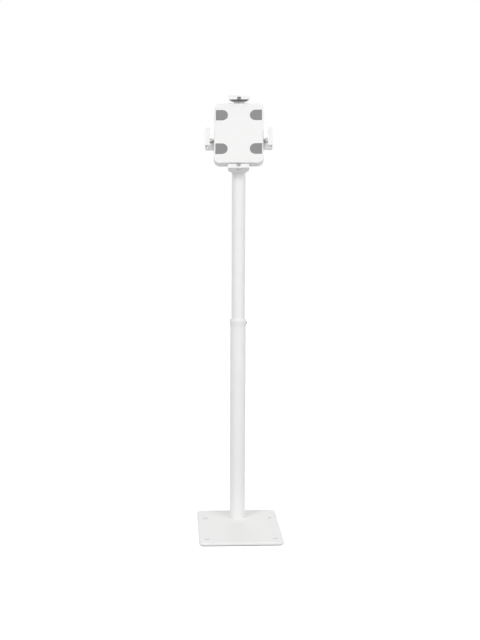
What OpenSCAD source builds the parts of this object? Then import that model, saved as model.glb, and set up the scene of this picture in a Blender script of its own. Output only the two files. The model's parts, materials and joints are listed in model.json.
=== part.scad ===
// Adjustable tablet floor stand: a square weighted base, a telescoping column held by a socket screw in
// its collar, and a tilting, turning holder with two geared side claws, a sliding top claw and a fixed
// bottom claw. Millimetres, +Z up, the front is -Y, origin on the floor under the middle of the base.

/* [Base] */
// Side of the square base plate
base_side = 250; // [220:1:320]
// Thickness of the steel base plate
base_t = 8; // [7:0.5:12]
// Corner radius of the base plate
base_corner_r = 14; // [8:1:30]
// Rounding of the plate's upper edge
base_edge_r = 4; // [1:0.5:5]
// Thickness of the rubber mat under the plate
mat_t = 3; // [2.5:0.5:6]
// How far the mat stays inside the plate's edge
mat_inset = 3; // [1:0.5:8]
// Column axis, from the rear edge of the base
column_inset = 57.5; // [40:0.5:90]
// Diameter of the floor fixing holes
floor_hole_d = 8; // [5:0.5:12]
// Floor holes, from the side edges
floor_hole_side = 24; // [14:1:60]
// Rear floor holes, from the rear edge
floor_hole_rear = 65; // [14:1:90]
// Front floor holes, from the front edge
floor_hole_front = 30; // [14:1:60]

/* [Column] */
// Outer diameter of the upper tube
upper_tube_d = 40; // [36:0.5:50]
// Wall of the upper tube
upper_tube_wall = 1.5; // [1:0.1:2.5]
// Length of the upper tube
upper_tube_len = 569; // [480:0.5:700]
// Turn of the upper tube in the lower tube, to the right
head_turn = -4.5; // [-45:0.5:45]
// Wall of the guide bush between the tubes
bush_wall = 1.9; // [1.5:0.1:4]
// Length of the guide bush inside the lower tube
bush_len = 60; // [40:1:100]
// Thickness of the bush's flange on the tube end
bush_flange_t = 3; // [2:0.5:4]
// Wall of the lower tube
lower_tube_wall = 2; // [1.5:0.1:3]
// Length of the lower tube
lower_tube_len = 626; // [500:1:760]
// Wall of the collar around the lower tube
collar_wall = 1.65; // [1.2:0.05:4]
// Height of the collar's skirt on the lower tube
collar_skirt = 13; // [10:0.5:20]
// Thickness of the collar's top above the bush
collar_top_t = 4; // [2.5:0.5:8]
// Rounding of the collar's outer edges
collar_round = 3.5; // [1:0.5:4]
// Height of the plug in the foot of the lower tube
foot_plug_h = 30; // [28:1:50]
// Height of the guide ring under the upper tube
end_guide_h = 14; // [8:1:24]
// Length of the guide's spigot in the upper tube
end_spigot = 20; // [10:1:40]

/* [Tilt head] */
// Tilt of the holder from upright
tilt = 25; // [5:1:60]
// Hinge axis above the end of the upper tube
hinge_rise = 26; // [24:0.5:40]
// Flange of the yoke on the tube end, thickness
yoke_flange_t = 6; // [4:0.5:8]
// How far the yoke's plug reaches into the tube
yoke_plug = 26; // [20:1:40]
// Space between the yoke's ears
ear_gap = 28; // [24:0.5:34]
// Thickness of each ear
ear_t = 5; // [4:0.5:7]
// Radius of the ears about the hinge
ear_r = 13; // [11:0.5:14]
// Radius of the knuckle about the hinge
knuckle_r = 12; // [10:0.5:13]
// Diameter of the tilt bolt
tilt_bolt_d = 8; // [6:0.5:10]
// Thickness of each friction washer
tilt_washer_t = 1; // [0.5:0.1:1.5]
// Radius of the knuckle's round flange
flange_r = 32; // [26:0.5:40]
// Thickness of the knuckle's round flange
flange_t = 4; // [3:0.5:5]
// Radius of the turning hub
hub_r = 18; // [16:0.5:20]
// Radius of the retainer that holds the hub
retainer_r = 23; // [21.5:0.5:24]
// Thickness of the retainer
retainer_t = 2; // [1.5:0.1:2.1]
// Thickness of the turning friction ring
swivel_washer_t = 0.9; // [0.5:0.1:1.5]

/* [Holder] */
// Width of the holder's housing
housing_w = 142; // [136:1:170]
// Height of the holder's housing
housing_h = 191; // [186:1:230]
// Corner radius of the housing, seen from the front
housing_corner_r = 18; // [14:1:30]
// Rounding of the housing's front and rear edges
housing_edge_r = 2; // [1:0.5:6]
// Hinge axis to the back of the housing
back_offset = 30; // [29:0.5:40]
// Depth of the rear cover
rear_depth = 16.8; // [13:0.1:18]
// Depth of the front plate
front_depth = 8.6; // [7:0.1:12]
// Thickness of the housing's side walls
wall_t = 3; // [2:0.5:4]
// Thickness of the rear cover's floor
floor_t = 2.5; // [2.2:0.1:4]
// Thickness of the front plate's face
face_t = 3.5; // [3:0.5:5]
// Length of each grip pad
grip_len = 34.5; // [24:0.5:50]
// Height of each grip pad
grip_h = 33; // [20:1:40]
// Thickness of each grip pad
grip_t = 1.8; // [1.2:0.1:3]
// How deep the grip pads are let into the face
grip_seat = 0.8; // [0.4:0.1:1.5]
// Upper grip pads above the middle of the holder
grip_up = 56.5; // [40:0.5:70]
// Lower grip pads below the middle of the holder
grip_down = 51; // [40:0.5:70]
// Outer ends of the grip pads, from the housing's sides
grip_margin = 4.6; // [3:0.1:12]

/* [Side arms] */
// Bottom edge of the side arms, below the middle
arm_bottom = 46; // [46:0.5:50]
// Height of the side arms
arm_h = 33.5; // [32:0.5:34]
// Thickness of the arm strips
strip_t = 2; // [1.5:0.1:2.2]
// Height of the rounded bar on each arm
bar_h = 19; // [14:0.5:22]
// Width of the groove between the bar and the upper band
groove_h = 4; // [2:0.5:6]
// Teeth of the pinion that links the arms
pinion_teeth = 16; // [16:2:18]
// Tooth module of the pinion and the racks
tooth_module = 1; // [0.9:0.05:1]
// Inward travel of each arm
arm_in = 18; // [10:1:18]
// Outward travel of each arm
arm_out = 17; // [10:1:20]
// Diameter of the pinion's post
post_d = 6; // [4:0.5:7]

/* [Claws] */
// Outer face of the side claws, from the middle
claw_u = 96.6; // [95:0.1:110]
// Thickness of the claws' walls
claw_t = 3.5; // [3:0.1:5]
// Depth of the claws' lips from the hinge axis
claw_front = 70; // [66:0.5:80]
// Thickness of the claws' lips
lip_t = 3; // [2:0.5:4]
// Width of the side claws' lips
side_lip = 13.7; // [8:0.1:18]
// Height of the side claws
side_claw_h = 56; // [40:1:70]
// Width of the top and bottom claws
end_claw_w = 60; // [48:1:80]
// Height of the top and bottom claws' lips
end_lip = 12; // [8:0.5:16]
// Radius of the side claws' rear corners
claw_rear_r = 14; // [6:0.5:15]
// Radius of the top and bottom claws' rear corners
shelf_rear_r = 22; // [6:0.5:26]
// Width of the cable notch in the lips
notch_w = 11; // [6:0.5:16]
// Depth of the cable notch in the lips
notch_h = 8.5; // [4:0.5:8.5]
// Width of the plug slot in the shelves
port_w = 16; // [10:0.5:22]
// Depth of the plug slot in the shelves
port_d = 5; // [3:0.5:8]
// Inner face of the top claw above the housing
top_claw_v = 13; // [10.5:0.5:27]
// Inner face of the bottom claw below the housing
bottom_claw_v = 19.5; // [10:0.5:32]
// Width of the top slider and the bottom bracket
slider_w = 30; // [24:0.5:36]
// Thickness of the top slider and the bottom bracket
slider_t = 2.5; // [2:0.1:3]
// Lower end of the top slider above the middle
slider_low = 20; // [15:0.5:30]
// Thickness of the rubber linings in the claws
lining_t = 1.5; // [1:0.1:2]

/* [Fasteners] */
// Diameter of the base bolt
base_bolt_d = 10; // [8:0.5:12]
// Diameter of the base bolt's low head
base_head_d = 17; // [15:0.5:19]
// Diameter of the small countersunk screws
screw_d = 3; // [2.5:0.1:3.5]
// Head diameter of the small countersunk screws
screw_head_d = 5.6; // [5:0.1:6]
// Diameter of the height screw
height_screw_d = 5; // [4:0.5:6]
// Head diameter of the height screw
height_head_d = 8.5; // [7:0.5:10]
// Diameter of the lock screw
lock_screw_d = 5; // [4:0.5:6]
// Head diameter of the lock screw
lock_head_d = 16; // [12:0.5:20]
// Lock screw above the middle of the holder
lock_v = 70; // [50:1:80]

/* [Clearances] */
// Sliding and turning fits, on the radius
run_gap = 0.06; // [0.03:0.01:0.1]
// Parts that are seated in each other, on the radius
seat_gap = 0.04; // [0.02:0.01:0.1]
// Flat faces that slide past each other
slide_gap = 0.3; // [0.2:0.05:0.4]
// Flat faces held together by a bolt or a screw
face_gap = 0.1; // [0.05:0.05:0.15]

/* [Hidden] */
$fn = 64;

eps = 0.5;
hull_fn = 32;

// Finishes
white_paint = [0.94, 0.94, 0.93];
white_plastic = [0.92, 0.92, 0.91];
grey_rubber = [0.56, 0.56, 0.56];
dark_rubber = [0.25, 0.25, 0.26];
bright_steel = [0.72, 0.73, 0.74];
natural_nylon = [0.86, 0.85, 0.80];
brass = [0.80, 0.66, 0.32];

// Heights on the column
plate_z = mat_t;
base_top = plate_z + base_t;
column_y = base_side / 2 - column_inset;
tube_top = base_top + lower_tube_len;
bush_bottom = tube_top - bush_len;
bush_top = tube_top + bush_flange_t;
collar_bottom = tube_top - collar_skirt;
collar_top = bush_top + collar_top_t;
upper_z = bush_bottom - slide_gap;
upper_top = upper_z + upper_tube_len;
hinge_z = upper_top + hinge_rise;

// Radii on the column
upper_r = upper_tube_d / 2;
upper_bore_r = upper_r - upper_tube_wall;
bush_in_r = upper_r + run_gap;
bush_out_r = bush_in_r + bush_wall;
lower_bore_r = bush_out_r + seat_gap;
lower_r = lower_bore_r + lower_tube_wall;
collar_in_r = lower_r + seat_gap;
collar_r = collar_in_r + collar_wall;

// Base bolt: a low head and a washer in a counterbore, clear of the floor
base_head_h = 4.5;
base_washer_t = 2;
base_washer_r = base_head_d / 2 + 1.5;
counterbore_z = base_top - 3.5;
base_washer_z = counterbore_z - base_washer_t;
base_head_z = base_washer_z - base_head_h;
base_bolt_top = base_top + foot_plug_h - 4;
base_bolt_recess = 8;
mat_bolt_hole_r = base_washer_r + 4;
mat_floor_hole_r = floor_hole_d / 2 + 2;
floor_sink_r = floor_hole_d;
floor_sink_h = floor_sink_r - floor_hole_d / 2;
floor_hole_u = base_side / 2 - floor_hole_side;
floor_hole_ys = [base_side / 2 - floor_hole_rear, floor_hole_front - base_side / 2];

// Height screw in the collar, on the right
height_screw_z = tube_top - collar_skirt / 2 + 1.5;
height_head_h = 2.6;
shoe_t = 1.6;
shoe_r = height_screw_d / 2 - 0.2;
shoe_x = upper_r + face_gap;
height_tip_x = shoe_x + shoe_t + face_gap;

// Rivets that hold the yoke in the tube
rivet_r = 2;
rivet_head_r = 3.2;
rivet_head_h = 1.2;
rivet_len = 8;
rivet_z = upper_top - yoke_plug / 2;

// Tilt hinge
ear_in = ear_gap / 2;
ear_out = ear_in + ear_t;
yoke_flange_r = norm([ear_out, ear_r]) + 0.5;
knuckle_half = ear_in - tilt_washer_t - face_gap;
tilt_head_h = 5.3;
tilt_nut_h = 6.5;
tilt_hex_d = 1.88 * tilt_bolt_d;
tilt_washer_r = knuckle_r - 2;

// Levels in the holder, along its front normal from the hinge axis
floor_w = back_offset + floor_t;
split_w = back_offset + rear_depth;
face_w = split_w + front_depth;
inner_face_w = face_w - face_t;
flange_w = back_offset - face_gap - swivel_washer_t - flange_t;
hub_top_w = floor_w + face_gap;
retainer_top_w = hub_top_w + retainer_t;
left_strip_w = retainer_top_w + 0.4;
right_strip_w = left_strip_w + strip_t + 0.4;
bar_top_w = split_w - 0.4;
left_bar_w = right_strip_w + strip_t + 0.4;
slider_w0 = floor_w + 3.5;
slider_w1 = slider_w0 + slider_t;

// Housing outline
inner_w = housing_w - 2 * wall_t;
inner_h = housing_h - 2 * wall_t;
inner_r = housing_corner_r - wall_t;
boss_r = 4;
boss_u = inner_w / 2 - 9;
boss_v = inner_h / 2 - 11;
housing_head_r = 2.75;
housing_head_h = 2;
housing_screw_bite = 3.6;
housing_screw_len = rear_depth - housing_head_h + housing_screw_bite;
housing_tip_w = back_offset + housing_head_h + housing_screw_len;

// Grip pads end at the flat part of the face
grip_outer_u = housing_w / 2 - max(grip_margin, housing_edge_r + 0.6);

// Pinion and racks
pitch_r = tooth_module * pinion_teeth / 2;
pressure = 20;
tooth_base_r = pitch_r * cos(pressure);
addendum = 0.9 * tooth_module;
dedendum = 1.2 * tooth_module;
backlash = 0.12;
tip_r = pitch_r + addendum;
root_r = pitch_r - dedendum;
tooth_pitch = PI * tooth_module;
arm_top = arm_h - arm_bottom;
pinion_v = (arm_top - arm_bottom) / 2;
window_u = tip_r + 1.2;
window_out = window_u + arm_in;
window_in = window_u + arm_out;
strip_end = window_in + 4.5;
pinion_w0 = left_strip_w - 0.2;
pinion_w1 = right_strip_w + strip_t + 0.2;
pinion_boss_r = 5;
pinion_washer_t = 0.6;
pinion_washer_r = post_d / 2 + 3;
post_head_h = 1.4;
post_washer_w = pinion_w1 + face_gap;
post_head_w = post_washer_w + pinion_washer_t;

// Side arms outside the housing
arm_end = claw_u - claw_t;
bar_end = inner_w / 2 - arm_out - 1;
block_len = 9;
join_end = arm_end - 18;
band_step = 0.6;
band_w = bar_top_w - band_step;
bar_top_v = bar_h - arm_bottom;
band_bottom_v = bar_top_v + groove_h;
bar_round = 4;
rail_t = 2;
rail_inner = retainer_r + 3;
rib_t = 2;
right_rib_in = strip_end + arm_in + 2;
right_rib_out = min(inner_w / 2 + eps, arm_end - block_len - arm_in - slide_gap);

// Claws
top_inner_v = housing_h / 2 + top_claw_v;
bottom_inner_v = housing_h / 2 + bottom_claw_v;
claw_rear_w = left_strip_w;
shelf_rear_w = slider_w0;
lip_w = claw_front - lip_t;
side_claw_drop = 1.5;
side_claw_v0 = -arm_bottom - side_claw_drop;
flange_len = 14;
slider_flange_t = 2;
shelf_screw_u = 9;
shelf_screw_w = slider_w1 + 5.5;
port_w0 = lip_w - 11.5;
lining_margin = 0.5;
end_lining_inset = 1.5;
end_lining_u = end_claw_w / 2 - end_lining_inset;
end_lining_w0 = slider_w1 + end_lining_inset;
end_lining_r = shelf_rear_r - end_lining_inset - lining_margin;
side_lining_inset = 4.5;
side_lining_w0 = split_w + 2;
claw_screw_vs = [6.5 - arm_bottom, arm_top - 6.5];
claw_screw_w = (left_strip_w + bar_top_w) / 2;
claw_screw_len = 9.5;
shelf_screw_len = claw_t - face_gap;

// Bottom bracket
bracket_top = arm_bottom + 6;
bracket_screw_vs = [32 - inner_h / 2, 11 - inner_h / 2];
bracket_screw_len = 7;
bracket_boss_r = 5;

// Lock screw on the rear cover
insert_r = lock_screw_d / 2 + 1.6;
lock_boss_r = insert_r + 2.2;
shoe_w1 = slider_w0 - face_gap;
shoe_w0 = shoe_w1 - 0.9;
lock_tip_w = shoe_w0 - face_gap;
insert_w0 = back_offset + 0.6;
insert_w1 = shoe_w0 - face_gap;
lock_head_h = 5;
lock_head_w = back_offset - 0.4 - lock_head_h;

// Shared shapes

// Rounded rectangle about the origin, with true arcs
module rounded_rect(w, h, r) {
    square([w - 2 * r, h], center = true);
    square([w, h - 2 * r], center = true);
    for (x = [-1, 1], y = [-1, 1])
        translate([x * (w / 2 - r), y * (h / 2 - r)]) circle(r = r);
}

// Rectangle from one corner to the other, with a radius for each corner in turn from the lowest left one
module corner_rect(a, b, radii) {
    size = b - a;
    corners = [a, [b[0], a[1]], b, [a[0], b[1]]];
    inward = [[1, 1], [-1, 1], [-1, -1], [1, -1]];
    difference() {
        translate(a) square(size);
        for (i = [0:3]) if (radii[i] > 0) difference() {
            translate(corners[i] + [for (k = [0, 1]) inward[i][k] > 0 ? -eps : -radii[i]])
                square(radii[i] + eps);
            translate(corners[i] + radii[i] * inward[i]) circle(r = radii[i]);
        }
    }
}

// Slab with rounded corners and a rounded upper edge
module soft_slab(w, h, t, r, edge) {
    hull() for (x = [-1, 1], y = [-1, 1])
        translate([x * (w / 2 - r), y * (h / 2 - r), 0])
            rotate_extrude($fn = hull_fn) {
                square([r, t - edge]);
                square([r - edge, t]);
                translate([r - edge, t - edge]) intersection() {
                    circle(r = edge, $fn = hull_fn);
                    square(edge);
                }
            }
}

module ring(outer, inner, h) {
    difference() {
        cylinder(r = outer, h = h);
        translate([0, 0, -eps]) cylinder(r = inner, h = h + 2 * eps);
    }
}

// Puts a shape on the axis of the turned upper tube
module on_column() {
    translate([0, column_y, 0]) rotate(head_turn) children();
}

// Puts a shape drawn in the holder's own frame (x right, y up the face, z out of the face) on the hinge
module on_head() {
    on_column() translate([0, 0, hinge_z]) rotate([90 - tilt, 0, 0]) children();
}

// Lays a shape that stands along Z down along X
module along_x() {
    rotate([0, 90, 0]) children();
}

// Extrudes a y,z outline along X from x0 to x1
module extrude_x(x0, x1) {
    translate([x0, 0, 0]) rotate([90, 0, 90]) linear_extrude(x1 - x0) children();
}

// Extrudes an x,z outline along Y from y0 to y1
module extrude_y(y0, y1) {
    translate([0, y1, 0]) rotate([90, 0, 0]) linear_extrude(y1 - y0) children();
}

// Extrudes an x,y outline along Z from z0 to z1
module extrude_z(z0, z1) {
    translate([0, 0, z0]) linear_extrude(z1 - z0) children();
}

// Countersunk screw with a hexagon socket: its head is flush with z = 0 and it points down
module countersunk_screw(len) {
    cone_h = (screw_head_d - screw_d) / 2;
    difference() {
        union() {
            translate([0, 0, -cone_h]) cylinder(r1 = screw_d / 2, r2 = screw_head_d / 2, h = cone_h);
            translate([0, 0, -len]) cylinder(r = screw_d / 2, h = len - cone_h / 2);
        }
        translate([0, 0, -0.9]) cylinder(r = screw_d / 3, h = 2, $fn = 6);
    }
}

module countersunk_hole(len) {
    cone_h = (screw_head_d - screw_d) / 2;
    translate([0, 0, -cone_h])
        cylinder(r1 = screw_d / 2 + seat_gap, r2 = screw_head_d / 2 + seat_gap, h = cone_h);
    translate([0, 0, -len - 0.2]) cylinder(r = screw_d / 2 + seat_gap, h = len + 0.2 - cone_h / 2);
    translate([0, 0, -seat_gap]) cylinder(r = screw_head_d / 2 + seat_gap, h = eps);
}

// Base

module base_plate() {
    color(white_paint) difference() {
        translate([0, 0, plate_z]) soft_slab(base_side, base_side, base_t, base_corner_r, base_edge_r);
        for (x = [-1, 1], y = floor_hole_ys)
            translate([x * floor_hole_u, y, 0]) {
                translate([0, 0, plate_z - eps]) cylinder(d = floor_hole_d, h = base_t + 2 * eps);
                translate([0, 0, base_top - floor_sink_h])
                    cylinder(r1 = floor_hole_d / 2, r2 = floor_sink_r, h = floor_sink_h);
            }
        translate([0, column_y, 0]) {
            cylinder(r = base_bolt_d / 2 + seat_gap, h = base_top + eps);
            cylinder(r = base_washer_r + 0.5, h = counterbore_z);
        }
    }
}

module base_mat() {
    color(dark_rubber) difference() {
        extrude_z(0, mat_t) rounded_rect(base_side - 2 * mat_inset, base_side - 2 * mat_inset,
                                         base_corner_r - mat_inset);
        for (x = [-1, 1], y = floor_hole_ys)
            translate([x * floor_hole_u, y, -eps]) cylinder(r = mat_floor_hole_r, h = mat_t + 2 * eps);
        translate([0, column_y, -eps]) cylinder(r = mat_bolt_hole_r, h = mat_t + 2 * eps);
    }
}

module base_bolt() {
    color(bright_steel) translate([0, column_y, 0]) difference() {
        union() {
            translate([0, 0, base_head_z]) cylinder(d = base_head_d, h = base_head_h);
            translate([0, 0, base_head_z + base_head_h - eps])
                cylinder(d = base_bolt_d, h = base_bolt_top - base_head_z - base_head_h + eps);
        }
        translate([0, 0, base_head_z - eps]) cylinder(d = base_bolt_recess, h = 2.5 + eps, $fn = 6);
    }
}

module base_washer() {
    color(bright_steel) translate([0, column_y, base_washer_z])
        ring(base_washer_r, base_bolt_d / 2 + seat_gap, base_washer_t);
}

module foot_plug() {
    color(bright_steel) translate([0, column_y, base_top]) difference() {
        cylinder(r = lower_bore_r - seat_gap, h = foot_plug_h);
        translate([0, 0, -eps])
            cylinder(r = base_bolt_d / 2 + seat_gap, h = base_bolt_top - base_top + 1 + eps);
    }
}

// Column

module height_screw_path(r) {
    translate([0, 0, height_screw_z]) along_x() cylinder(r = r, h = collar_r + eps);
}

module lower_tube() {
    color(white_paint) translate([0, column_y, 0]) difference() {
        translate([0, 0, base_top]) ring(lower_r, lower_bore_r, lower_tube_len);
        height_screw_path(height_screw_d / 2 + run_gap);
    }
}

module guide_bush() {
    color(natural_nylon) translate([0, column_y, 0]) difference() {
        union() {
            translate([0, 0, bush_bottom]) cylinder(r = bush_out_r, h = bush_top - bush_bottom);
            translate([0, 0, tube_top]) cylinder(r = lower_r, h = bush_flange_t);
        }
        translate([0, 0, bush_bottom - eps]) cylinder(r = bush_in_r, h = bush_top - bush_bottom + 2 * eps);
        height_screw_path(height_screw_d / 2 + run_gap);
    }
}

module tube_collar() {
    collar_h = collar_top - collar_bottom;
    color(white_plastic) translate([0, column_y, 0]) difference() {
        translate([0, 0, collar_bottom]) rotate_extrude()
            corner_rect([0, 0], [collar_r, collar_h], [0, collar_wall * 0.8, collar_round, 0]);
        translate([0, 0, collar_bottom - eps]) cylinder(r = collar_in_r, h = bush_top - collar_bottom + eps);
        translate([0, 0, bush_top - eps]) cylinder(r = upper_r + slide_gap, h = collar_top_t + 2 * eps);
        height_screw_path(height_screw_d / 2 + run_gap);
    }
}

module clamp_shoe() {
    color(natural_nylon) translate([shoe_x, column_y, height_screw_z]) along_x()
        cylinder(r = shoe_r, h = shoe_t);
}

module height_screw() {
    head_x = collar_r + 0.15;
    color(bright_steel) translate([0, column_y, height_screw_z]) along_x() difference() {
        union() {
            translate([0, 0, height_tip_x]) cylinder(d = height_screw_d, h = head_x + eps - height_tip_x);
            translate([0, 0, head_x]) cylinder(d = height_head_d, h = height_head_h);
        }
        translate([0, 0, head_x + 0.8]) cylinder(d = 0.6 * height_screw_d, h = height_head_h, $fn = 6);
    }
}

module rivet_paths(r) {
    for (side = [-1, 1]) translate([0, 0, rivet_z]) rotate([0, side * 90, 0])
        translate([0, 0, upper_r - rivet_len]) cylinder(r = r, h = rivet_len + eps);
}

module upper_tube() {
    color(white_paint) on_column() difference() {
        translate([0, 0, upper_z]) ring(upper_r, upper_bore_r, upper_tube_len);
        rivet_paths(rivet_r + seat_gap);
    }
}

// The guide slides in the lower tube, and the upper tube turns on its spigot
module tube_end_guide() {
    color(natural_nylon) translate([0, column_y, upper_z - face_gap]) difference() {
        union() {
            cylinder(r = upper_bore_r - run_gap, h = end_spigot);
            translate([0, 0, -end_guide_h]) cylinder(r = lower_bore_r - 2 * run_gap, h = end_guide_h);
        }
        translate([0, 0, -end_guide_h - eps])
            cylinder(r = upper_bore_r - 4, h = end_guide_h + end_spigot + 2 * eps);
    }
}

// Tilt head

module yoke() {
    color(white_paint) on_column() difference() {
        union() {
            translate([0, 0, upper_top - yoke_plug])
                cylinder(r = upper_bore_r - seat_gap, h = yoke_plug + eps);
            translate([0, 0, upper_top]) cylinder(r = yoke_flange_r, h = yoke_flange_t);
            for (side = [-1, 1]) extrude_x(side > 0 ? ear_in : -ear_out, side > 0 ? ear_out : -ear_in) {
                translate([-ear_r, upper_top + yoke_flange_t - eps])
                    square([2 * ear_r, hinge_rise - yoke_flange_t + eps]);
                translate([0, hinge_z]) circle(r = ear_r);
            }
        }
        translate([-ear_out - eps, 0, hinge_z]) along_x()
            cylinder(r = tilt_bolt_d / 2 + seat_gap, h = 2 * (ear_out + eps));
        rivet_paths(rivet_r + seat_gap);
    }
}

module yoke_rivets() {
    color(bright_steel) on_column() for (side = [-1, 1])
        translate([0, 0, rivet_z]) rotate([0, side * 90, 0]) {
            translate([0, 0, upper_r - rivet_len + 0.5]) cylinder(r = rivet_r, h = rivet_len);
            translate([0, 0, upper_r]) cylinder(r = rivet_head_r, h = rivet_head_h);
        }
}

module tilt_bolt() {
    shank_end = ear_out + tilt_nut_h + 1.5;
    color(bright_steel) on_column() translate([0, 0, hinge_z]) along_x() {
        translate([0, 0, -ear_out - tilt_head_h]) cylinder(d = tilt_hex_d, h = tilt_head_h, $fn = 6);
        translate([0, 0, -ear_out - eps]) cylinder(d = tilt_bolt_d, h = ear_out + eps + shank_end);
    }
}

module tilt_nut() {
    color(bright_steel) on_column() translate([ear_out, 0, hinge_z]) along_x() difference() {
        cylinder(d = tilt_hex_d, h = tilt_nut_h, $fn = 6);
        translate([0, 0, -eps]) cylinder(r = tilt_bolt_d / 2 + seat_gap, h = tilt_nut_h + 2 * eps);
    }
}

module friction_washers() {
    color(natural_nylon) on_column() for (x = [-ear_in, ear_in - tilt_washer_t])
        translate([x, 0, hinge_z]) along_x() ring(tilt_washer_r, tilt_bolt_d / 2 + run_gap, tilt_washer_t);
}

module retainer_screw_places() {
    for (a = [30, 150, 270]) rotate(a) translate([hub_r * 0.5, 0, retainer_top_w]) children();
}

module tilt_knuckle() {
    color(white_paint) on_head() difference() {
        union() {
            translate([-knuckle_half, 0, 0]) along_x() cylinder(r = knuckle_r, h = 2 * knuckle_half);
            translate([-knuckle_half, -knuckle_r, 0])
                cube([2 * knuckle_half, 2 * knuckle_r, flange_w + flange_t / 2]);
            translate([0, 0, flange_w]) cylinder(r = flange_r, h = flange_t);
            translate([0, 0, flange_w + flange_t / 2])
                cylinder(r = hub_r, h = hub_top_w - flange_w - flange_t / 2);
        }
        translate([-knuckle_half - eps, 0, 0]) along_x()
            cylinder(r = tilt_bolt_d / 2 + run_gap, h = 2 * (knuckle_half + eps));
        retainer_screw_places() countersunk_hole(8);
    }
}

module swivel_washer() {
    color(natural_nylon) on_head() translate([0, 0, flange_w + flange_t])
        ring(flange_r - 1.5, hub_r + run_gap, swivel_washer_t);
}

module hub_retainer() {
    color(bright_steel) on_head() difference() {
        translate([0, 0, hub_top_w]) cylinder(r = retainer_r, h = retainer_t);
        retainer_screw_places() countersunk_hole(8);
    }
}

module retainer_screws() {
    color(bright_steel) on_head() retainer_screw_places() countersunk_screw(8);
}

// Holder housing

module boss_places() {
    for (x = [-1, 1], y = [-1, 1]) translate([x * boss_u, y * boss_v, 0]) children();
}

// Rails beside the side arms, with ribs that carry the strips
module arm_guides() {
    rail_h = split_w - 1 - floor_w;
    low_v = -arm_bottom - slide_gap - rail_t;
    high_v = arm_top + slide_gap;
    translate([-inner_w / 2 - eps, low_v, floor_w - eps]) cube([inner_w + 2 * eps, rail_t, rail_h + eps]);
    for (side = [-1, 1]) {
        u0 = side > 0 ? rail_inner : -inner_w / 2 - eps;
        translate([u0, high_v, floor_w - eps]) cube([inner_w / 2 + eps - rail_inner, rail_t, rail_h + eps]);
        rib_u = side > 0 ? right_rib_in : -inner_w / 2 - eps;
        rib_len = side > 0 ? right_rib_out - right_rib_in : inner_w / 2 + eps - rail_inner;
        rib_top = (side > 0 ? right_strip_w : left_strip_w) - face_gap;
        for (v = [1 - arm_bottom, arm_top - 1 - rib_t])
            translate([rib_u, v, floor_w - eps]) cube([rib_len, rib_t, rib_top - floor_w + eps]);
    }
}

// Ribs under the top slider
module slider_ribs() {
    for (side = [-1, 1])
        translate([side * (slider_w / 2 - 3) - rib_t / 2, lock_v - 32, floor_w - eps])
            cube([rib_t, inner_h / 2 - lock_v + 32 + eps, slider_w0 - face_gap - floor_w + eps]);
}

module slider_slot(v) {
    translate([-slider_w / 2 - slide_gap, v - wall_t, slider_w0 - slide_gap])
        cube([slider_w + 2 * slide_gap, 2 * wall_t, slider_t + 2 * slide_gap]);
}

module rear_cover() {
    color(white_plastic) on_head() difference() {
        union() {
            difference() {
                translate([0, 0, split_w]) mirror([0, 0, 1])
                    soft_slab(housing_w, housing_h, rear_depth, housing_corner_r, housing_edge_r);
                extrude_z(floor_w, split_w + eps) rounded_rect(inner_w, inner_h, inner_r);
            }
            arm_guides();
            slider_ribs();
            boss_places() translate([0, 0, floor_w - eps]) cylinder(r = boss_r, h = split_w - floor_w + eps);
            translate([0, pinion_v, floor_w - eps])
                cylinder(r = pinion_boss_r, h = pinion_w0 - face_gap - floor_w + eps);
            for (v = bracket_screw_vs) translate([0, v, floor_w - eps])
                cylinder(r = bracket_boss_r, h = slider_w0 - floor_w + eps);
            translate([0, lock_v, floor_w - eps]) cylinder(r = lock_boss_r, h = insert_w1 - floor_w + eps);
        }
        translate([0, 0, back_offset - eps]) cylinder(r = hub_r + run_gap, h = floor_t + 2 * eps);
        for (side = [-1, 1])
            translate([side * housing_w / 2, pinion_v, left_strip_w - slide_gap + split_w / 2])
                cube([2 * (wall_t + eps), arm_h + 2 * slide_gap, split_w], center = true);
        slider_slot(housing_h / 2 - wall_t / 2);
        slider_slot(-housing_h / 2 + wall_t / 2);
        boss_places() translate([0, 0, back_offset - eps]) {
            cylinder(r = screw_d / 2 + seat_gap, h = rear_depth + 2 * eps);
            cylinder(r = housing_head_r + 0.2, h = housing_head_h + eps);
        }
        translate([0, pinion_v, back_offset + 1]) cylinder(r = post_d / 2 + seat_gap, h = rear_depth);
        for (v = bracket_screw_vs) translate([0, v, slider_w1]) countersunk_hole(bracket_screw_len);
        translate([0, lock_v, back_offset - eps]) cylinder(r = lock_screw_d / 2 + 0.2, h = rear_depth);
        translate([0, lock_v, insert_w0]) cylinder(r = insert_r + seat_gap, h = rear_depth);
    }
}

// Outline of a grip pad: straight at the outer end, half round at the inner end
module grip_outline(gap) {
    r = grip_h / 2;
    translate([grip_outer_u - grip_len + r, 0]) circle(r = r + gap);
    translate([grip_outer_u - grip_len + r, -r - gap]) square([grip_len - r + gap, grip_h + 2 * gap]);
}

module grip_at(side, v) {
    translate([0, v, face_w - grip_seat]) mirror([side < 0 ? 1 : 0, 0, 0]) children();
}

// Ribs inside the front plate that keep the arms and the top slider on their guides
module keeper_ribs() {
    for (side = [-1, 1]) {
        arm_rib = inner_w / 2 + eps - bar_end + arm_in;
        u0 = side > 0 ? bar_end - arm_in : -inner_w / 2 - eps;
        for (v = [6 - arm_bottom, bar_top_v - 6])
            translate([u0, v, bar_top_w + slide_gap])
                cube([arm_rib, rib_t, inner_face_w - bar_top_w - slide_gap + eps]);
        translate([side * slider_w / 4 - rib_t / 2, lock_v - 25, slider_w1 + slide_gap])
            cube([rib_t, inner_h / 2 - lock_v + 24, inner_face_w - slider_w1 - slide_gap + eps]);
    }
}

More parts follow.
